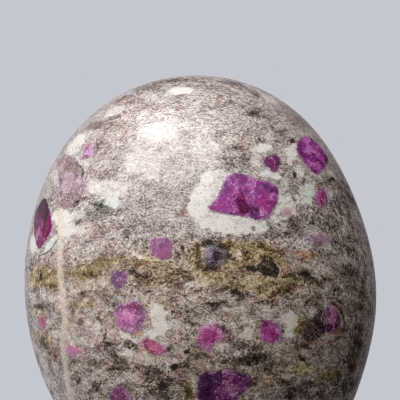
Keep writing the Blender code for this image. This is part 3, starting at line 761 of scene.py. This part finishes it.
# =====================================================================================================
# 7. Layers, patches and lines that run all round
# =====================================================================================================
s = F[:, 2]
sw = s + 1.1 * fbm(F / [14, 14, 9], 5, 2) + 0.35 * fbm(F / [4, 4, 3], 6, 2)
away = ramp(FACING, 0.10, -0.25)                                 # sides and back
lens_a = fbm(np.stack([F[:, 0] / 7, F[:, 1] / 7, sw / 1.25], 1), 101, 4, .55)
lens_b = fbm(np.stack([F[:, 0] / 4, F[:, 1] / 4, sw / 0.95], 1), 131, 2, .5)
lens_c = fbm(np.stack([F[:, 0] / 12, F[:, 1] / 12, sw / 4.0], 1), 161, 3, .5)
blot = fbm(F / [3.2, 3.2, 2.0], 171, 3, .55)
WHITE_LAYER = 0.30 * ramp(lens_a, .10, .42) + 0.25 * ramp(lens_b, .15, .45)
DARK_LAYER = 0.55 * ramp(lens_a, -.05, -.38) + 0.45 * ramp(lens_b, -.10, -.42) + 0.25 * ramp(blot, .12, .4)
olive_band = np.exp(-((sw - 29.5) / 3.6) ** 2) + 0.55 * np.exp(-((sw - 9.5) / 3.0) ** 2)
OLIVE_LAYER = olive_band * ramp(lens_c + .35 * blot, -.12, .30)
CALM = ramp(P[:, 2] + 4 * fbm(P / 12, 241, 2) - 14 * ramp(P[:, 0], 7, 16) * ramp(-P[:, 1], -8, 6), 38.0, 52.0)       # the upper rock is more even
layered = 1 - .65 * CALM * (1 - away)
FIELDS["white"] = 1 - (1 - FIELDS["white"]) * (1 - WHITE_LAYER * (0.55 + 0.90 * away) * layered)
FIELDS["dark"] = 1 - (1 - FIELDS["dark"]) * (1 - DARK_LAYER * (0.55 + 0.45 * away) * layered)
FIELDS["dark"] *= 1 - .35 * np.clip(FIELDS["even"], 0, 1)
FIELDS["olive"] = 1 - (1 - FIELDS["olive"]) * (1 - OLIVE_LAYER * (0.30 + 0.70 * away))
FIELDS["rust"] = np.maximum(FIELDS["rust"], away * ramp(fbm(F / [2.6, 2.6, 1.2], 201, 2), .42, .62) * olive_band * .8)
FIELDS["teal"] = np.maximum(FIELDS["teal"], away * ramp(fbm(F / [5, 5, 3], 211, 2), .30, .55) * .6)
FIELDS["clot"] = np.maximum(FIELDS["clot"], away * ramp(fbm(F / [1.9, 1.9, 1.1], 221, 3), .40, .50) * ramp(lens_a, .0, -.2))
FIELDS["warm"] = np.clip(FIELDS["warm"] + away * .4 + .25 * fbm(P / 9, 231, 2), -.4, 1)


# A thin pale vein: a crack healed with albite, nearly a plane from front to back.
VEIN_Y = np.array([205, 223, 254, 280, 303, 320, 332, 343, 362, 381, 399, 430, 480], float)
VEIN_X = np.array([60.5, 60, 59.5, 60.2, 61.8, 65.2, 64.0, 62.3, 64.2, 66.6, 70, 75, 84], float)
v3 = cast(VEIN_X, VEIN_Y)
order = np.argsort(v3[:, 2])
vein_x = np.interp(P[:, 2], v3[order, 2], v3[order, 0])
vein_y0 = np.interp(P[:, 2], v3[order, 2], v3[order, 1])
back = np.maximum(P[:, 1] - vein_y0, 0)
front = np.minimum(P[:, 1] - vein_y0, 0)
vein_d = P[:, 0] - vein_x - 0.34 * back - 0.05 * front - 0.35 * ramp(back, 1, 8) * fbm(P / 6.0, 301, 2) * 6
vein_slope = np.abs(NORMAL[:, 0])                                # the plane meets the surface at an angle
VEIN = np.abs(vein_d) / np.maximum(np.sqrt(1 - NORMAL[:, 0] ** 2), .35) + 0.12 * fbm(P / 1.1, 303, 2) + 0.30 * fbm(P / 2.6, 305, 2)
VEIN = VEIN + 3.0 * ramp(P[:, 2], 51.5, 54.0) + 0.9 * ramp(P[:, 2], 46, 53) * (P[:, 1] > 0)
VEIN_SIDE = np.sign(vein_d)

CRACK = polyline_distance([(38, 256), (44, 254), (49, 251), (53, 246), (56.5, 240)], .05)
CRACK = np.minimum(CRACK, 0.10 + polyline_distance([(220, 173), (224, 178)], .05))
CRACK = np.minimum(CRACK, 0.12 + polyline_distance([(109, 252), (116, 262), (122, 268)], .3))
# hairlines on the hidden sides, in planes across the stone
for plane_n, off, seed in (((.62, .70, .35), 21.0, 401), ((-.35, .85, -.40), 6.0, 411)):
    pn = unit(np.array(plane_n))
    d = np.abs((P - CENTRE) @ pn - off - 1.4 * fbm(P / 9, seed, 3)) + 9 * (1 - ramp(fbm(P / 11, seed + 5, 2), -.02, .10))
    CRACK = np.minimum(CRACK, d + 9 * (1 - away))

# A white-green lens over the crack at the left edge, and the dark line under it.
near, sd, _ = outline_field([(44, 250), (47, 243), (52, 238), (57, 234), (58, 240), (54, 246), (49, 251), (44, 254)], .1)
FIELDS["white"][near] = np.maximum(FIELDS["white"][near], ramp(sd, .2, -.2) * .9)
FIELDS["teal"][near] = np.maximum(FIELDS["teal"][near], ramp(sd, .2, -.2) * .6)
# An arc of iron stain round the composite crystal.
ARC = polyline_distance([(333, 303), (338, 307), (342, 313), (344.5, 321), (344, 329), (341, 336), (335, 341), (326, 344)], .15)
FIELDS["rust"] = np.maximum(FIELDS["rust"], ramp(ARC, .5, .12) * .9)
FIELDS["dark"] = np.maximum(FIELDS["dark"], ramp(ARC, .45, .15) * .7)

# =====================================================================================================
# 8. Relief: what polishing leaves. Hard crystals stand a little proud, micas and cracks sit low.
# =====================================================================================================
inside = ramp(RUBY_SD, 0.20, -0.45)
pits = ramp(fbm(P / .75, 501, 2), .12, .45)
relief = 0.085 * inside - 0.045 * inside * pits
relief -= 0.030 * np.exp(-((RUBY_SD - 0.25) / .28) ** 2) * (RUBY_SD < 3)
relief -= 0.050 * np.clip(FIELDS["clot"], 0, 1) * (1 - inside)
relief -= 0.090 * ramp(CRACK, .30, .0)
relief += 0.018 * ramp(VEIN, .75, .35)
relief += 0.030 * fbm(P / 7, 511, 2) + 0.012 * fbm(P / 2.4, 521, 2)
relief -= 0.012 * ramp(fbm(P / .62, 531, 2), .25, .6)
relief *= 1 - on_flat
P2 = P + NORMAL * (relief - 0.02)[:, None]
P2[:, 2] = np.maximum(P2[:, 2], 0.0)
P2[on_flat > 0.999, 2] = 0.0

# =====================================================================================================
# 9. The mesh object
# =====================================================================================================
mesh = bpy.data.meshes.new("ruby_in_albite")
mesh.from_pydata((P2 / 1000.0).tolist(), [], quads.tolist())
mesh.polygons.foreach_set("use_smooth", np.ones(len(quads), bool))
uv = mesh.uv_layers.new(name="OFBake")
uv.data.foreach_set("uv", loop_uv.astype(np.float32).ravel())


def put(name, values):
    values = np.asarray(values, np.float32)
    if values.ndim == 1:
        mesh.attributes.new(name, "FLOAT", "POINT").data.foreach_set("value", values)
    else:
        mesh.attributes.new(name, "FLOAT_VECTOR", "POINT").data.foreach_set("vector", values.ravel())


put("ruby_sd", np.clip(RUBY_SD, -6, 3))
put("ruby_a", RUBY_A)
put("ruby_b", RUBY_B)
put("ruby_par", RUBY_PAR)
put("ruby_uv", RUBY_UV)
put("ruby_in", RUBY_IN)
put("ruby_more", np.stack([RUBY_KIND, RIM, np.zeros(count)], 1))
put("zone_a", np.stack([FIELDS["white"], FIELDS["dark"], FIELDS["olive"]], 1))
put("zone_b", np.stack([FIELDS["rust"], FIELDS["teal"], FIELDS["mauve"]], 1))
put("zone_c", np.stack([FIELDS["clot"], FIELDS["warm"], on_flat], 1))
put("zone_d", np.stack([CALM, FIELDS["light"], FIELDS["pink"]], 1))
put("lines", np.stack([np.clip(VEIN, 0, 5), np.clip(CRACK, 0, 5), FIELDS["even"]], 1))
mesh.update()
stone = bpy.data.objects.new("ruby_in_albite_stone", mesh)
bpy.context.scene.collection.objects.link(stone)


# =====================================================================================================
# 10. The material
# =====================================================================================================
class Sock:
    """A node output or a number, with arithmetic that makes nodes."""

    def __init__(self, tree, value):
        self.t, self.v = tree, value

    def _math(self, op, *others, clamp=False):
        n = self.t.nodes.new("ShaderNodeMath")
        n.operation, n.use_clamp = op, clamp
        for i, o in enumerate((self,) + others):
            o = o.v if isinstance(o, Sock) else o
            if isinstance(o, (int, float)):
                n.inputs[i].default_value = o
            else:
                self.t.links.new(o, n.inputs[i])
        return Sock(self.t, n.outputs[0])

    def __add__(self, o): return self._math("ADD", o)
    def __radd__(self, o): return self._math("ADD", o)
    def __sub__(self, o): return self._math("SUBTRACT", o)
    def __rsub__(self, o): return Sock(self.t, float(o))._math("SUBTRACT", self)
    def __mul__(self, o): return self._math("MULTIPLY", o)
    def __rmul__(self, o): return self._math("MULTIPLY", o)
    def clip(self): return self._math("ADD", 0.0, clamp=True)
    def at_least(self, o): return self._math("MAXIMUM", o)
    def at_most(self, o): return self._math("MINIMUM", o)
    def power(self, o): return self._math("POWER", o)

    def ramp(self, lo, hi, out_lo=0.0, out_hi=1.0, kind="SMOOTHSTEP"):
        n = self.t.nodes.new("ShaderNodeMapRange")
        n.interpolation_type = kind
        for i, o in enumerate((self, lo, hi, out_lo, out_hi)):
            o = o.v if isinstance(o, Sock) else o
            if isinstance(o, (int, float)):
                n.inputs[i].default_value = o
            else:
                self.t.links.new(o, n.inputs[i])
        return Sock(self.t, n.outputs[0])


def vec_math(t, op, a, b=None, scale=None):
    n = t.nodes.new("ShaderNodeVectorMath")
    n.operation = op
    for i, o in enumerate((a, b)):
        if o is None:
            continue
        if isinstance(o, Sock):
            t.links.new(o.v, n.inputs[i])
        else:
            n.inputs[i].default_value = o
    if scale is not None:
        if isinstance(scale, Sock):
            t.links.new(scale.v, n.inputs["Scale"])
        else:
            n.inputs["Scale"].default_value = scale
    return Sock(t, n.outputs["Value" if op == "DOT_PRODUCT" else "Vector"])


def split(t, v):
    n = t.nodes.new("ShaderNodeSeparateXYZ")
    t.links.new(v.v, n.inputs[0])
    return [Sock(t, n.outputs[i]) for i in range(3)]


def join(t, x, y, z):
    n = t.nodes.new("ShaderNodeCombineXYZ")
    for i, o in enumerate((x, y, z)):
        if isinstance(o, Sock):
            t.links.new(o.v, n.inputs[i])
        else:
            n.inputs[i].default_value = o
    return Sock(t, n.outputs[0])


def attr(t, name, vector=False):
    n = t.nodes.new("ShaderNodeAttribute")
    n.attribute_name = name
    return Sock(t, n.outputs["Vector" if vector else "Fac"])


def noise(t, v, scale=1.0, detail=2.0, rough=.5, distortion=0.0):
    n = t.nodes.new("ShaderNodeTexNoise")
    n.inputs["Scale"].default_value = scale
    n.inputs["Detail"].default_value = detail
    n.inputs["Roughness"].default_value = rough
    n.inputs["Distortion"].default_value = distortion
    t.links.new(v.v, n.inputs["Vector"])
    return Sock(t, n.outputs["Fac"])


def voronoi(t, v, scale=1.0, feature="F1", out="Distance", random=1.0):
    n = t.nodes.new("ShaderNodeTexVoronoi")
    n.feature = feature
    n.inputs["Scale"].default_value = scale
    n.inputs["Randomness"].default_value = random
    t.links.new(v.v, n.inputs["Vector"])
    return Sock(t, n.outputs[out])


def mix(t, fac, a, b, blend="MIX"):
    n = t.nodes.new("ShaderNodeMix")
    n.data_type = "RGBA"
    n.blend_type = blend
    n.clamp_factor = True
    for name, o in (("Factor_Float", fac), ("A_Color", a), ("B_Color", b)):
        inp = next(i for i in n.inputs if i.identifier == name)
        if isinstance(o, Sock):
            t.links.new(o.v, inp)
        elif isinstance(o, (int, float)):
            inp.default_value = o
        else:
            inp.default_value = (*o, 1.0)
    return Sock(t, next(o for o in n.outputs if o.identifier == "Result_Color"))


mat = bpy.data.materials.new("polished_ruby_albite_rock")
mat.use_nodes = True
T = mat.node_tree
bsdf = T.nodes["Principled BSDF"]
coords = T.nodes.new("ShaderNodeTexCoord")
pos = vec_math(T, "SCALE", Sock(T, coords.outputs["Object"]), scale=1000.0)          # millimetres
fold = join(T, vec_math(T, "DOT_PRODUCT", pos, tuple(FOLD_A)), vec_math(T, "DOT_PRODUCT", pos, tuple(FOLD_B)),
            vec_math(T, "DOT_PRODUCT", pos, tuple(FOLD_UP)))

white, dark, olive = split(T, attr(T, "zone_a", True))
rust, teal, mauve = split(T, attr(T, "zone_b", True))
clot, warm, flat = split(T, attr(T, "zone_c", True))
calm, light, pinkish = split(T, attr(T, "zone_d", True))
vein, crack, even = split(T, attr(T, "lines", True))
sd = attr(T, "ruby_sd")
ruby_a, ruby_b = attr(T, "ruby_a", True), attr(T, "ruby_b", True)
fleck, rdark, soft = split(T, attr(T, "ruby_par", True))
shade, hot, pale = split(T, attr(T, "ruby_in", True))
altered, rim, _ = split(T, attr(T, "ruby_more", True))
grain_uv = attr(T, "ruby_uv", True)

# --- grain of the rock. One tone runs from black mica to white albite, and layers, blots, grains and specks add up in it.
flow = vec_math(T, "MULTIPLY", fold, (1.0, 1.0, 1.60))
flow_fine = vec_math(T, "MULTIPLY", fold, (1.0, 1.0, 1.18))
g_coarse = noise(T, flow, .30, 2.0, .78, .25)
g_fine = noise(T, vec_math(T, "ADD", flow_fine, (31.0, 7.0, 3.0)), 3.7, 1.0, 1.0)
g_mid = noise(T, vec_math(T, "ADD", flow, (-11.0, 27.0, 13.0)), .85, 1.0, .7)
edge = noise(T, pos, 1.9, 3.0, .7)
cell_r, cell_g, cell_b = split(T, voronoi(T, vec_math(T, "ADD", flow_fine, (5.0, -9.0, 2.0)), 5.2, "F1", "Color"))
grain_r, grain_g, grain_b = split(T, voronoi(T, vec_math(T, "ADD", flow_fine, (-7.0, 4.0, 12.0)), 3.0, "F1", "Color"))
spot = voronoi(T, vec_math(T, "ADD", flow_fine, (3.0, 4.0, -6.0)), 1.35, "F1", "Distance")
spot_r, spot_g, _ = split(T, voronoi(T, vec_math(T, "ADD", flow_fine, (3.0, 4.0, -6.0)), 1.35, "F1", "Color"))
blade = vec_math(T, "MULTIPLY", vec_math(T, "ADD", fold, vec_math(T, "SCALE", join(T, edge - .5, g_mid - .5, g_fine - .5), scale=1.1)),
                 (.80, .95, 1.55))
blot = voronoi(T, blade, .90, "F1", "Distance")
blot_r, blot_g, _ = split(T, voronoi(T, blade, .90, "F1", "Color"))
hue = noise(T, vec_math(T, "ADD", flow, (71.0, -7.0, 33.0)), .22, 2.0, .6)
hue2 = noise(T, vec_math(T, "ADD", flow, (-41.0, 57.0, -13.0)), .30, 2.0, .7)

rough_rock = 1.0 - calm * .62 - even * .30
wide = ((g_coarse - .5) * 1.05 + (g_mid - .5) * .30) * (.94 - calm * .52)
fine = ((g_fine - .5) * .42 + (cell_r - .5) * .40 + (grain_r - .5) * .34) * (.98 + calm * .04 - even * .38)
fine = fine - fine * fine * .8 + .02
speck = spot.ramp(.34, .20) * spot_r.ramp(.62 - dark * .25 + white * .22, .70 - dark * .25 + white * .22) * (spot_g * .5 + .5)
blotch = blot.ramp(.42, .20) * blot_r.ramp(.66 - dark * .30 + white * .35 + calm * .16, .74 - dark * .30 + white * .35 + calm * .16) * (blot_g * .6 + .4)
wfield = white + ((edge - .5) * .60 + (g_mid - .5) * .45) * rough_rock
wmask = wfield.ramp(.18, .85)
dmask = (dark + (grain_g - .5) * .75 + ((g_mid - .5) * .9 + (edge - .5) * .5) * rough_rock).ramp(.26, .92)
# light lifts or lowers the tone: paler ground, painted shade on the foot and the right edge, and a painted highlight
# across the shoulder
tone = wide * (1.0 - wmask * .55) + fine * (.92 - wmask * .55) + .545 - dark * .12 - dmask * (.24 - calm * .09 - even * .09) + wmask * (.32 - even * .08) + light * .16 \
    - (speck * .22).at_least(0.0) - blotch * (.27 - calm * .12)
cfield = clot * .85 + (edge - .5) * 1.1 + (g_mid - .5) * .8 + (g_fine - .5) * .9
cmask = cfield.ramp(.36, .70)
tone = tone - cmask * (.43 - (g_fine - .5) * .6 - (grain_g - .5) * .3)


def tone_ramp(t, fac, stops):
    n = t.nodes.new("ShaderNodeValToRGB")
    el = n.color_ramp.elements
    while len(el) < len(stops):
        el.new(.5)
    for e, (at, colour) in zip(el, stops):
        e.position, e.color = at, (*colour, 1.0)
    t.links.new(fac.v, n.inputs[0])
    return Sock(t, n.outputs[0])


grey = tone_ramp(T, tone, [(0.0, (.016, .010, .009)), (.15, (.060, .042, .036)), (.32, (.180, .138, .124)), (.50, (.390, .328, .308)),
                           (.68, (.610, .545, .522)), (.84, (.790, .750, .720)), (1.0, (.860, .838, .812))])
brown = tone_ramp(T, tone, [(0.0, (.018, .009, .005)), (.15, (.068, .040, .022)), (.32, (.192, .127, .077)), (.50, (.405, .300, .205)),
                            (.68, (.635, .520, .395)), (.84, (.795, .722, .615)), (1.0, (.860, .822, .750))])
green = tone_ramp(T, tone, [(0.0, (.018, .010, .003)), (.15, (.056, .035, .009)), (.32, (.165, .112, .028)), (.50, (.362, .275, .115)),
                            (.68, (.588, .485, .272)), (.84, (.740, .660, .450)), (1.0, (.810, .765, .640))])
base = mix(T, warm - calm * .22 + (hue - .5) * 1.5 + (cell_b - .5) * .4, grey, brown)
pmask = (pinkish * .8 - calm * .20 + (hue2 - .5) * 1.6 + (cell_g - .5) * .4).clip()
base = mix(T, pmask * .85, base, mix(T, 1.0, base, (1.05, .915, .955), "MULTIPLY"))
omask = (olive + (g_mid - .5) * .5 + (hue - .5) * .5).ramp(.12, .95)
base = mix(T, omask * .76, base, green)
rmark = (rust + (edge - .5) * .45).ramp(.22, .85)
base = mix(T, rmark * .80, base, mix(T, .75, base, (1.0, .42, .20), "MULTIPLY"))
tmark = (teal + (edge - .5) * .6 + (g_mid - .5) * .5).ramp(.22, .95)
base = mix(T, tmark * .85, base, mix(T, .9, base, (.80, .97, .96), "MULTIPLY"))
mmark = (mauve + (edge - .5) * .6).ramp(.2, .9)
base = mix(T, mmark * .75, base, mix(T, .9, base, (.95, .66, .90), "MULTIPLY"))
base = mix(T, .14, base, mix(T, 1.0, base, mix(T, .5, (1.0, 1.0, 1.0), Sock(T, join(T, cell_r, cell_g, cell_b).v)), "MULTIPLY"))

# --- the pale vein and the cracks
vmask = (vein + (g_fine - .5) * .55 + (edge - .5) * .45 + (g_coarse - .5) * .5).ramp(1.45, .30)
vcol = mix(T, (fine + .5).ramp(.25, .7), (.56, .47, .38), (.80, .72, .60))
base = mix(T, vmask * .68, base, vcol)
kmask = (crack + (g_fine - .5) * .14).ramp(.20, .07)

# --- crystals: fractured, with frosty grains and dark grains in them
gv = vec_math(T, "MULTIPLY", grain_uv, (1.0, 1.7, 1.0))
r_coarse = noise(T, gv, .80, 2.0, .8, .6)
r_fine = noise(T, gv, 3.5, 1.0, 1.0)
rc, rg, rb = split(T, voronoi(T, vec_math(T, "ADD", gv, (2.0, 5.0, 0.0)), 4.6, "F1", "Color"))
bent = vec_math(T, "ADD", grain_uv, vec_math(T, "SCALE", join(T, r_coarse - .5, r_fine - .5, 0.0), scale=1.1))
facet_r, facet_g, _ = split(T, voronoi(T, bent, .62, "F1", "Color"))
seam = voronoi(T, bent, .62, "DISTANCE_TO_EDGE", "Distance").ramp(.055, .018) * r_fine.ramp(.40, .56) * r_coarse.ramp(.47, .60)
r_tone = ((r_coarse - .5) * .85 + (facet_r - .5) * .55) * (fleck * .50 + .55) + ((r_fine - .5) * .75 + (rc - .5) * .30) * (fleck * 1.25 + .10)
r_tone = r_tone + .47 - (rdark - .4) * .30 - shade * .30 + pale * .22 + seam * (fleck * .45 + .16) + rc.ramp(.88, .98) * .32 * fleck
lilac = mix(T, .55, ruby_a, (.86, .70, .88))
body = mix(T, r_tone.ramp(.52, .24, kind="LINEAR"), ruby_a, ruby_b)
body = mix(T, r_tone.ramp(.24, .02, kind="LINEAR"), body, mix(T, 1.0, ruby_b, (.72, .18, .42), "MULTIPLY"))
body = mix(T, r_tone.ramp(.60, .95, kind="LINEAR"), body, lilac)
body = mix(T, (hot + (facet_g - .5) * .5).clip() * .70, body, mix(T, 1.0, body, (1.15, .45, .70), "MULTIPLY"))
body = mix(T, altered * (cmask * .6 + .36), body, base)
jag = sd + (edge - .5) * .55 + (g_fine - .5) * (soft * 2.2 + .16) + (cell_g - .5) * (soft * 1.0)
rmask = jag.ramp(soft * .70 + .04, soft * -.70 - .04)
near_mask = (sd + (g_mid - .5) * .8).ramp(.85, .0) * (1.0 - rmask)
base = mix(T, near_mask * rim * .40, base, mix(T, 1.0, base, (.72, .68, .78), "MULTIPLY"))
rim_mask = (jag + .06)._math("ABSOLUTE").ramp(.24, .04) * (g_mid * .5 + g_fine * .7).ramp(.52, .72) * rim
base = mix(T, rmask, base, body)
base = mix(T, (rmask * (1.0 - rmask) * 4.0).clip() * rim * .55, base, (.150, .110, .165))
base = mix(T, rim_mask * .55, base, (.060, .045, .060))
base = mix(T, kmask, base, (.030, .035, .035))
T.links.new(base.v, bsdf.inputs["Base Color"])
fleck_mask = (tone.ramp(.34, .18) + speck).clip()
grain_fine = r_fine

# --- gloss: hard grains take the best polish
rough = 0.245 + fleck_mask * .16 + cmask * .15 - rmask * .03 + rmask * grain_fine.ramp(.55, .7) * .16
rough = rough + (g_fine - .5) * .16 + kmask * .3 + flat * .12
T.links.new(rough.at_least(.12).at_most(.8).v, bsdf.inputs["Roughness"])

height = fleck_mask * -.55 + cmask * -.6 + (g_fine - .5) * .8 + (grain_fine - .5) * rmask * 2.0 - kmask * 2.0 + (cell_g - .5) * .25
bump = T.nodes.new("ShaderNodeBump")
bump.inputs["Strength"].default_value = 0.28
bump.inputs["Distance"].default_value = 0.00003
T.links.new(height.v, bump.inputs["Height"])
T.links.new(bump.outputs["Normal"], bsdf.inputs["Normal"])
bsdf.inputs["IOR"].default_value = 1.54
bsdf.inputs["Specular IOR Level"].default_value = 0.46
bsdf.inputs["Coat Weight"].default_value = 0.12
bsdf.inputs["Coat Roughness"].default_value = 0.12
mesh.materials.append(mat)

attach(stone, "root")
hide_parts("polished_stone")

# =====================================================================================================
# 11. Studio: pale floor, soft light from above and the left, plain pale surroundings
# =====================================================================================================
def stage_material(name):
    m = bpy.data.materials.new(name)
    m.use_nodes = True
    return m, m.node_tree, m.node_tree.nodes["Principled BSDF"]


floor_mesh = bpy.data.meshes.new("floor")
ring = 96
R_FLOOR = 0.27
verts = [(0, 0, 0)] + [(R_FLOOR * math.cos(2 * math.pi * i / ring), R_FLOOR * math.sin(2 * math.pi * i / ring), 0) for i in range(ring)]
floor_mesh.from_pydata(verts, [], [(0, 1 + i, 1 + (i + 1) % ring) for i in range(ring)])
floor = bpy.data.objects.new("floor", floor_mesh)
bpy.context.scene.collection.objects.link(floor)
floor.location = (0, 0, -0.00002)
m, t, b = stage_material("pale_floor")
b.inputs["Base Color"].default_value = (0.52, 0.53, 0.62, 1)
b.inputs["Roughness"].default_value = 0.9
b.inputs["Specular IOR Level"].default_value = 0.1
tc = t.nodes.new("ShaderNodeTexCoord")
ln = t.nodes.new("ShaderNodeVectorMath")
ln.operation = "LENGTH"
t.links.new(tc.outputs["Object"], ln.inputs[0])
fade = Sock(t, ln.outputs["Value"]).ramp(0.13, 0.265)
clear = t.nodes.new("ShaderNodeBsdfTransparent")
mixs = t.nodes.new("ShaderNodeMixShader")
t.links.new(fade.v, mixs.inputs[0])
t.links.new(b.outputs[0], mixs.inputs[1])
t.links.new(clear.outputs[0], mixs.inputs[2])
t.links.new(mixs.outputs[0], t.nodes["Material Output"].inputs["Surface"])
floor_mesh.materials.append(m)
floor.visible_diffuse = False
floor.visible_glossy = False
floor.visible_shadow = False


def area_light(name, at, look, size_x, size_y, radiance, colour=(1, 1, 1)):
    data = bpy.data.lights.new(name, "AREA")
    data.shape = "RECTANGLE"
    data.size, data.size_y = size_x, size_y
    data.energy = radiance * math.pi * size_x * size_y
    data.color = colour
    obj = bpy.data.objects.new(name, data)
    bpy.context.scene.collection.objects.link(obj)
    obj.location = at
    obj.rotation_mode = "QUATERNION"
    obj.rotation_quaternion = (Vector(look) - Vector(at)).to_track_quat("-Z", "Y")
    obj.visible_camera = False
    return obj


area_light("overhead_softbox", (-0.090, -0.140, 0.400), (-0.03, -0.05, 0.05), 0.40, 0.32, 4.0, (1.0, 0.985, 0.965))
area_light("softbox_core", (-0.135, -0.045, 0.395), (-0.02, -0.02, 0.05), 0.10, 0.065, 5.2, (1.0, 0.99, 0.975))

fill = area_light("back_fill", (0.10, 0.42, 0.26), (0.0, 0.0, 0.04), 0.36, 0.30, 2.4, (0.96, 0.97, 1.0))
fill.visible_glossy = False

world = bpy.data.worlds.new("studio")
bpy.context.scene.world = world
world.use_nodes = True
W = world.node_tree
for n in list(W.nodes):
    W.nodes.remove(n)
out = W.nodes.new("ShaderNodeOutputWorld")
wtc = W.nodes.new("ShaderNodeTexCoord")
look_dir = Sock(W, wtc.outputs["Generated"])


def lobe_dir(azimuth, elevation):
    """Azimuth 0 is towards the camera, 90 to its right."""
    a, e = math.radians(azimuth), math.radians(elevation)
    return (math.sin(a) * math.cos(e), -math.cos(a) * math.cos(e), math.sin(e))


LOBES = [  # azimuth, elevation, strength, sharpness, colour
    (-38, 12, 1.00, 4, (1.0, .98, .96)),
    (-46, -22, 0.50, 4, (1.0, .98, .95)),
    (60, 26, 0.62, 5, (1.0, .98, .97)),
    (-92, 36, 0.76, 6, (1.0, .98, .97)),
    (-100, -4, 0.46, 4, (1.0, .98, .97)),
    (-140, -20, 0.34, 4, (.95, .95, 1.0)),
    (180, 2, 0.75, 26, (.80, .82, 1.0)),
]
total = None
for az, el, strength, sharp, colour in LOBES:
    d = vec_math(W, "DOT_PRODUCT", look_dir, lobe_dir(az, el)).at_least(0.0).power(float(sharp)) * strength
    c = mix(W, 1.0, (0, 0, 0), colour)
    lit = vec_math(W, "SCALE", Sock(W, c.v), scale=d)
    total = lit if total is None else vec_math(W, "ADD", total, lit)
total = vec_math(W, "ADD", total, (0.014, 0.014, 0.015))
light_bg = W.nodes.new("ShaderNodeBackground")
W.links.new(total.v, light_bg.inputs["Color"])
path = W.nodes.new("ShaderNodeLightPath")
glossy = Sock(W, path.outputs["Is Glossy Ray"])
behind = vec_math(W, "DOT_PRODUCT", look_dir, (0, 1, 0)).ramp(.35, .85)          # the paper keeps its full strength in the gloss
W.links.new((1.0 - glossy * (1.0 - behind) * .84).v, light_bg.inputs["Strength"])

# what the camera sees behind the stone: one plain pale grey
seen_bg = W.nodes.new("ShaderNodeBackground")
seen_bg.inputs["Color"].default_value = (0.56, 0.57, 0.62, 1.0)
pick = W.nodes.new("ShaderNodeMixShader")
W.links.new(path.outputs["Is Camera Ray"], pick.inputs[0])
W.links.new(light_bg.outputs[0], pick.inputs[1])
W.links.new(seen_bg.outputs[0], pick.inputs[2])
W.links.new(pick.outputs[0], out.inputs["Surface"])

# =====================================================================================================
# 12. Camera
# =====================================================================================================
cam_data = bpy.data.cameras.new("camera")
cam_data.sensor_fit = "HORIZONTAL"
cam_data.sensor_width = 36.0
cam_data.lens = FOCAL_PX / 400.0 * 36.0
cam_data.clip_start, cam_data.clip_end = 0.01, 10.0
camera = bpy.data.objects.new("camera", cam_data)
bpy.context.scene.collection.objects.link(camera)
camera.location = Vector(cam_pos / 1000.0)
camera.rotation_mode = "QUATERNION"
camera.rotation_quaternion = Vector(cam_f).to_track_quat("-Z", "Y")
bpy.context.scene.camera = camera
bpy.context.scene.view_settings.view_transform = "Standard"
bpy.context.scene.view_settings.look = "None"
bpy.context.scene.cycles.filter_width = 1.15
